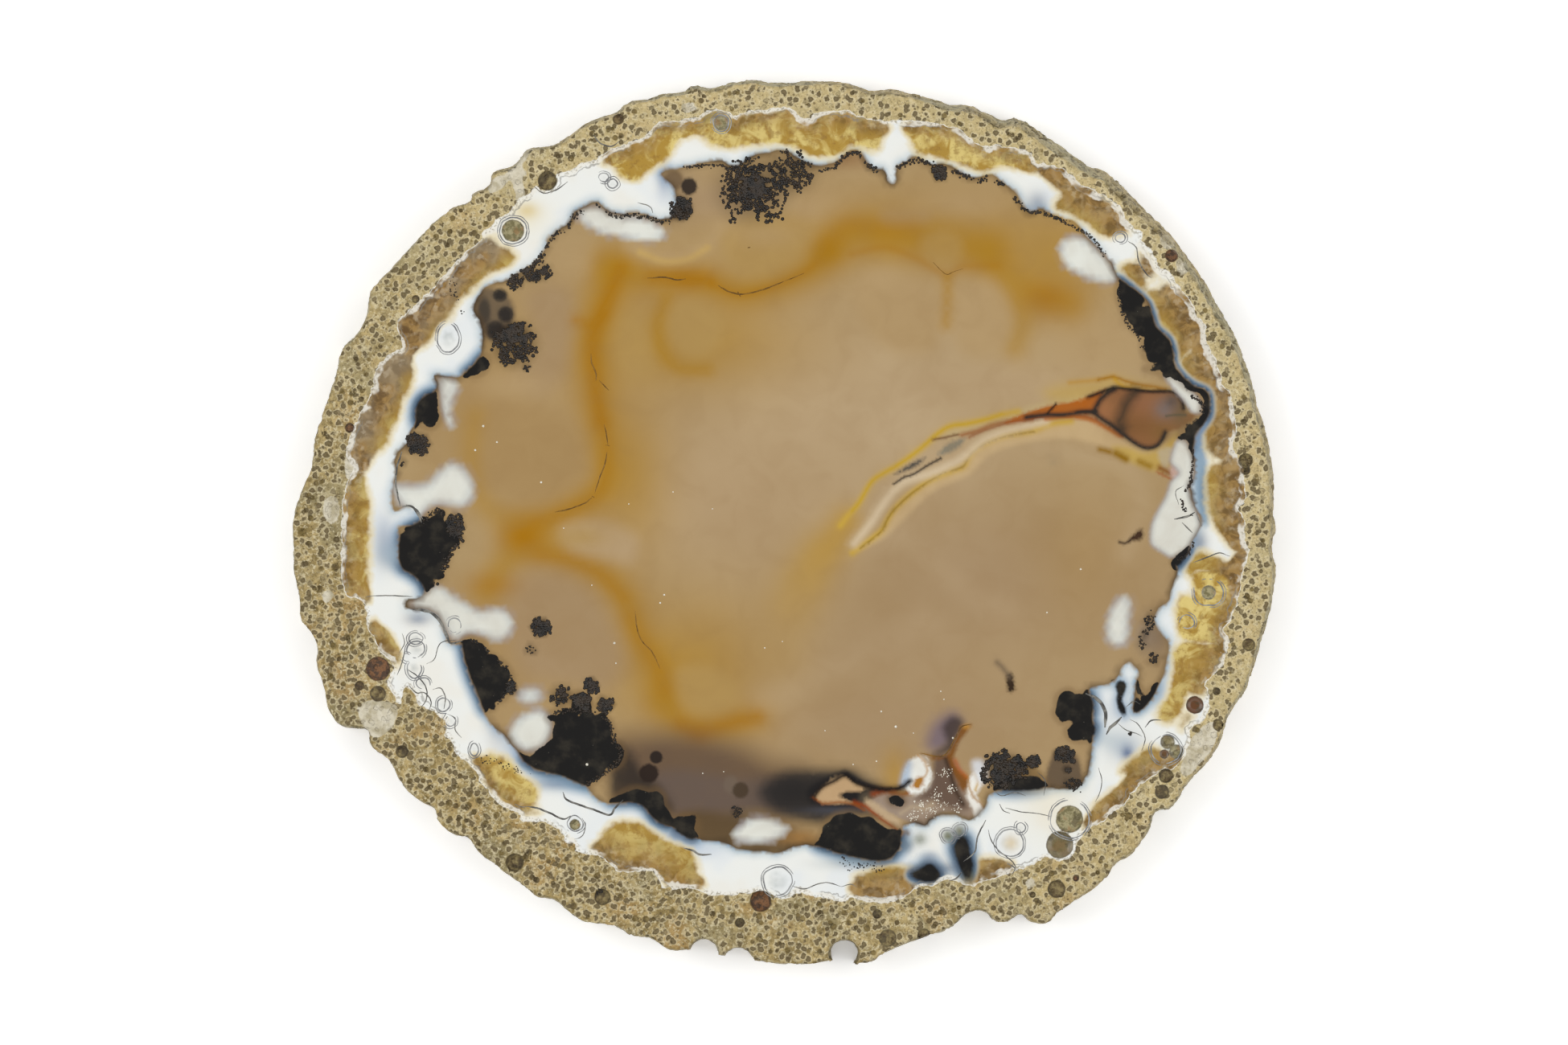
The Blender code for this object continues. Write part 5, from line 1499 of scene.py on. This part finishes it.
def dendrite_points(dice):
    """Where the dendrites' grains lie: patches thinned to lace by noise, and ribbons along the fringes."""
    spots, sizes = [], []
    for x, y, wide, high, spacing, size, open_share in DENDRITES:
        spacing, size = spacing * GRAIN_SPACING, size * GRAIN_SIZE
        reach = max(wide, high)
        count = int(2 * reach / spacing) + 2
        columns, rows = np.meshgrid(np.arange(count), np.arange(count))
        patch = np.stack([columns.ravel(), rows.ravel()], 1) * spacing - reach
        patch = patch + dice.uniform(-0.45, 0.45, patch.shape) * spacing
        ragged = roughness(patch + (x, y), 7, 4.4) * 0.55
        patch = patch[np.hypot(patch[:, 0] / wide, patch[:, 1] / high) + ragged < 0.95]
        if not len(patch):
            continue
        holes = roughness(patch + (x, y), 7, 6.6)
        order = np.sort(holes)
        patch = patch[holes > order[int(open_share * OPEN_SHARE * (len(order) - 1))]] if open_share else patch
        spots.append(patch + (x, y))
        sizes.append(size * dice.uniform(0.7, 1.25, len(patch)))
    for spacing, size, width, path in FRINGES:
        line = smooth(path, False, spacing * 0.5)
        line = line[roughness(line, 12, 7.7) > -0.35]
        for _ in range(2):
            spots.append(line + dice.normal(0, width * 0.26, line.shape))
            sizes.append(size * GRAIN_SIZE * dice.uniform(0.6, 1.3, len(line)))
    return np.vstack(spots), np.concatenate(sizes)


def build_dendrites(settings):
    """Black manganese grains in the heart, and the pale specks that lie over them."""
    dice = np.random.default_rng(settings.seed + 7)
    tree = grain_group()
    spots, sizes = dendrite_points(dice)
    black = inlay_finish("manganese_dendrite", "#120D08", "#2F2315", 0.7, 0.4)
    source = point_source("dendrite_points", spots, sizes)
    grown_piece("dendrites", source, tree, {"Finish": black, "Seed": settings.seed, "Size Spread": 0.2})
    pale = inlay_finish("pale_speck", SPECK_WHITE, "#F6F1E2", 0.5)
    frost = np.vstack([dice.normal(path, 4.0, (DRUSE_GRAINS // len(DRUSE_FROST), 2)) for path in DRUSE_FROST])
    frost = frost[inside(frost, smooth(DRUSE_STAINS[0][4]))]
    seen = np.array(SPECKS)
    spots = np.vstack([seen[:, :2], frost])
    source = point_source("speck_points", spots, np.concatenate([seen[:, 2], dice.uniform(0.3, 1.0, len(frost))]))
    grown_piece("pale_specks", source, tree, {"Finish": pale, "Seed": settings.seed + 2})


def build_lines(settings):
    """Growth rings and dark seams in the wall, and healed cracks in the heart."""
    tree = line_group()
    grey = inlay_finish("wall_seam", "#4E4D4A", "#8A8880", 0.7)
    lines = [(radius, path, False) for radius, path in GREY_LINES]
    source = curve_source("seam_curves", lines)
    grown_piece("wall_seams", source, tree, {"Finish": grey, "Wobble": settings.wobble})
    pale = inlay_finish("growth_ring", "#77787A", "#A9AAA8", 0.8)
    rings = []
    for x, y, wide, high in RINGS:
        for gap, share in ((0.0, 1.0), (2.8, 0.6)):
            circle = ring(0, 0, 1, 16) * (wide + gap, high + gap) + (x, y)
            rings.append((RING_RADIUS * share, circle, True))
    source = curve_source("ring_curves", rings)
    loose = {"Finish": pale, "Wobble": settings.wobble * 4, "Wobble Size": 0.0016}
    grown_piece("growth_rings", source, tree, loose)
    brown = inlay_finish("healed_crack", "#5E431B", "#8A6424", 0.9)
    source = curve_source("crack_curves", [(radius, path, False) for radius, path in BROWN_LINES])
    grown_piece("healed_cracks", source, tree, {"Finish": brown, "Wobble": settings.wobble})


# The stage: a pale floor, soft light all round, and the camera straight above as in the photograph
FLOOR_SIZE = 6.0
FLOOR_DROP = 0.00002
FLOOR_GLOW = 0.26
CAMERA_DISTANCE = 0.9
SENSOR_WIDTH = 36.0
LOW_STRENGTH = 0.30
WORLD_STRENGTH = 1.27
ZENITH_STRENGTH = 0.15
LOW_EDGES = (0.35, 0.68)
ZENITH_EDGES = (0.80, 0.97)
KEY_PLACE = (-0.83, 0.16, 0.75)
KEY_SIZE = 0.8
KEY_POWER = 3.6
FILL_PLACE = (0.86, -0.08, 0.70)
FILL_SIZE = 0.8
FILL_POWER = 2.4


def build_floor():
    half = FLOOR_SIZE / 2
    mesh = bpy.data.meshes.new("floor")
    corners = [(-half, -half), (half, -half), (half, half), (-half, half)]
    mesh.from_pydata([(x, y, -FLOOR_DROP) for x, y in corners], [], [(0, 1, 2, 3)])
    p = Painter("pale_floor", 0.55)
    p.shader.inputs["Emission Color"].default_value = (1.0, 1.0, 1.0, 1.0)
    p.shader.inputs["Emission Strength"].default_value = FLOOR_GLOW
    mesh.materials.append(p.finish(p.blend(p.step(p.noise(60.0), 0.3, 0.7), "#FAFAFA", "#FDFDFC")))
    floor = bpy.data.objects.new("floor", mesh)
    bpy.context.scene.collection.objects.link(floor)


def add_soft_light(name, at, size, power):
    light = bpy.data.lights.new(name, "AREA")
    light.shape = "DISK"
    light.size = size
    light.energy = power
    lamp = bpy.data.objects.new(name, light)
    lamp.location = at
    lamp.rotation_euler = (-Vector(at)).to_track_quat("-Z", "Y").to_euler()
    bpy.context.scene.collection.objects.link(lamp)


def build_stage():
    """Floor, sky, two soft lamps and the camera."""
    build_floor()
    add_soft_light("key_light", KEY_PLACE, KEY_SIZE, KEY_POWER)
    add_soft_light("fill_light", FILL_PLACE, FILL_SIZE, FILL_POWER)
    scene = bpy.context.scene
    scene.world = bpy.data.worlds.new("studio")
    scene.world.use_nodes = True
    tree = scene.world.node_tree
    sky = tree.nodes["Background"]
    sky.inputs["Color"].default_value = (1.0, 1.0, 1.0, 1.0)
    heading = add_node(tree, "ShaderNodeTexCoord").outputs["Generated"]
    upward = add_node(tree, "ShaderNodeSeparateXYZ", {0: heading}).outputs["Z"]
    strength = LOW_STRENGTH
    for (low, high), onward in ((LOW_EDGES, WORLD_STRENGTH), (ZENITH_EDGES, ZENITH_STRENGTH)):
        inputs = {"Value": upward, "From Min": low, "From Max": high, "To Min": strength, "To Max": onward}
        strength = add_node(tree, "ShaderNodeMapRange", inputs, interpolation_type="SMOOTHSTEP").outputs[0]
    sight = add_node(tree, "ShaderNodeLightPath").outputs["Is Camera Ray"]
    strength = add_node(tree, "ShaderNodeMix", {0: sight, 2: strength, 3: 1.0}, data_type="FLOAT").outputs[0]
    tree.links.new(strength, sky.inputs["Strength"])
    scene.view_settings.view_transform = "Standard"
    camera = bpy.data.cameras.new("camera")
    camera.sensor_fit = "HORIZONTAL"
    camera.sensor_width = SENSOR_WIDTH
    camera.lens = SENSOR_WIDTH * CAMERA_DISTANCE / (PICTURE_WIDTH * METRES_PER_PIXEL)
    eye = bpy.data.objects.new("camera", camera)
    eye.location = place(PICTURE_WIDTH / 2, PICTURE_HEIGHT / 2, FACE_Z + CAMERA_DISTANCE)
    scene.collection.objects.link(eye)
    scene.camera = eye


class AgateSettings(bpy.types.PropertyGroup):
    """What the builder can change: mesh spacings are in the photograph's pixels, 0.08 mm each."""

    seed: bpy.props.IntProperty(name="Seed", description="Fixes every random choice", default=11)
    pore_spacing: bpy.props.FloatProperty(name="Pore spacing", description="Between pores of the rind", default=8.1)
    pore_radius: bpy.props.FloatProperty(name="Pore radius", description="Of a middling pore", default=2.1)
    rind_spacing: bpy.props.FloatProperty(name="Rind spacing", description="Between points of the rind", default=5.6)
    wall_spacing: bpy.props.FloatProperty(name="Wall spacing", description="Between points of the wall", default=4.4)
    heart_spacing: bpy.props.FloatProperty(name="Heart spacing", description="Between points of the heart", default=8.5)
    detail_spacing: bpy.props.FloatProperty(name="Detail spacing", description="Near crisp markings", default=3.0)
    detail_margin: bpy.props.FloatProperty(name="Detail margin", description="Round crisp markings", default=8.0)
    back_spacing: bpy.props.FloatProperty(name="Back spacing", description="Between points of the back", default=13.0)
    wobble: bpy.props.FloatProperty(
        name="Wobble", description="Sideways wander of the fine lines", default=0.00012, subtype="DISTANCE", unit="LENGTH"
    )


class AGATE_OT_stone(bpy.types.Operator):
    """Build the stone itself, with its rind, wall and heart"""

    bl_idname = "agate.stone"
    bl_label = "Build Stone"

    def execute(self, context):
        build_stone(context.scene.agate_settings)
        return {"FINISHED"}


class AGATE_OT_dendrites(bpy.types.Operator):
    """Inlay the black dendrites and the pale specks"""

    bl_idname = "agate.dendrites"
    bl_label = "Inlay Dendrites"

    def execute(self, context):
        build_dendrites(context.scene.agate_settings)
        return {"FINISHED"}


class AGATE_OT_lines(bpy.types.Operator):
    """Inlay the rings, seams and healed cracks"""

    bl_idname = "agate.lines"
    bl_label = "Inlay Lines"

    def execute(self, context):
        build_lines(context.scene.agate_settings)
        return {"FINISHED"}


class AGATE_OT_stage(bpy.types.Operator):
    """Set the floor, the lights and the camera"""

    bl_idname = "agate.stage"
    bl_label = "Set Stage"

    def execute(self, context):
        build_stage()
        return {"FINISHED"}


OPERATORS = (AGATE_OT_stone, AGATE_OT_dendrites, AGATE_OT_lines, AGATE_OT_stage)


class AGATE_PT_panel(bpy.types.Panel):
    """The builder's buttons and settings"""

    bl_idname = "AGATE_PT_panel"
    bl_label = "Agate Slice"
    bl_space_type = "VIEW_3D"
    bl_region_type = "UI"
    bl_category = "Agate"

    def draw(self, context):
        settings = context.scene.agate_settings
        for name in AgateSettings.__annotations__:
            self.layout.prop(settings, name)
        for operator in OPERATORS:
            self.layout.operator(operator.bl_idname)


CLASSES = (AgateSettings, *OPERATORS, AGATE_PT_panel)


def register():
    for part in CLASSES:
        bpy.utils.register_class(part)
    bpy.types.Scene.agate_settings = bpy.props.PointerProperty(type=AgateSettings)


def unregister():
    del bpy.types.Scene.agate_settings
    for part in reversed(CLASSES):
        bpy.utils.unregister_class(part)


def main():
    register()
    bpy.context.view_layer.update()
    bpy.ops.agate.stone()
    bpy.ops.agate.dendrites()
    bpy.ops.agate.lines()
    bpy.ops.agate.stage()


if __name__ == "__main__":
    main()
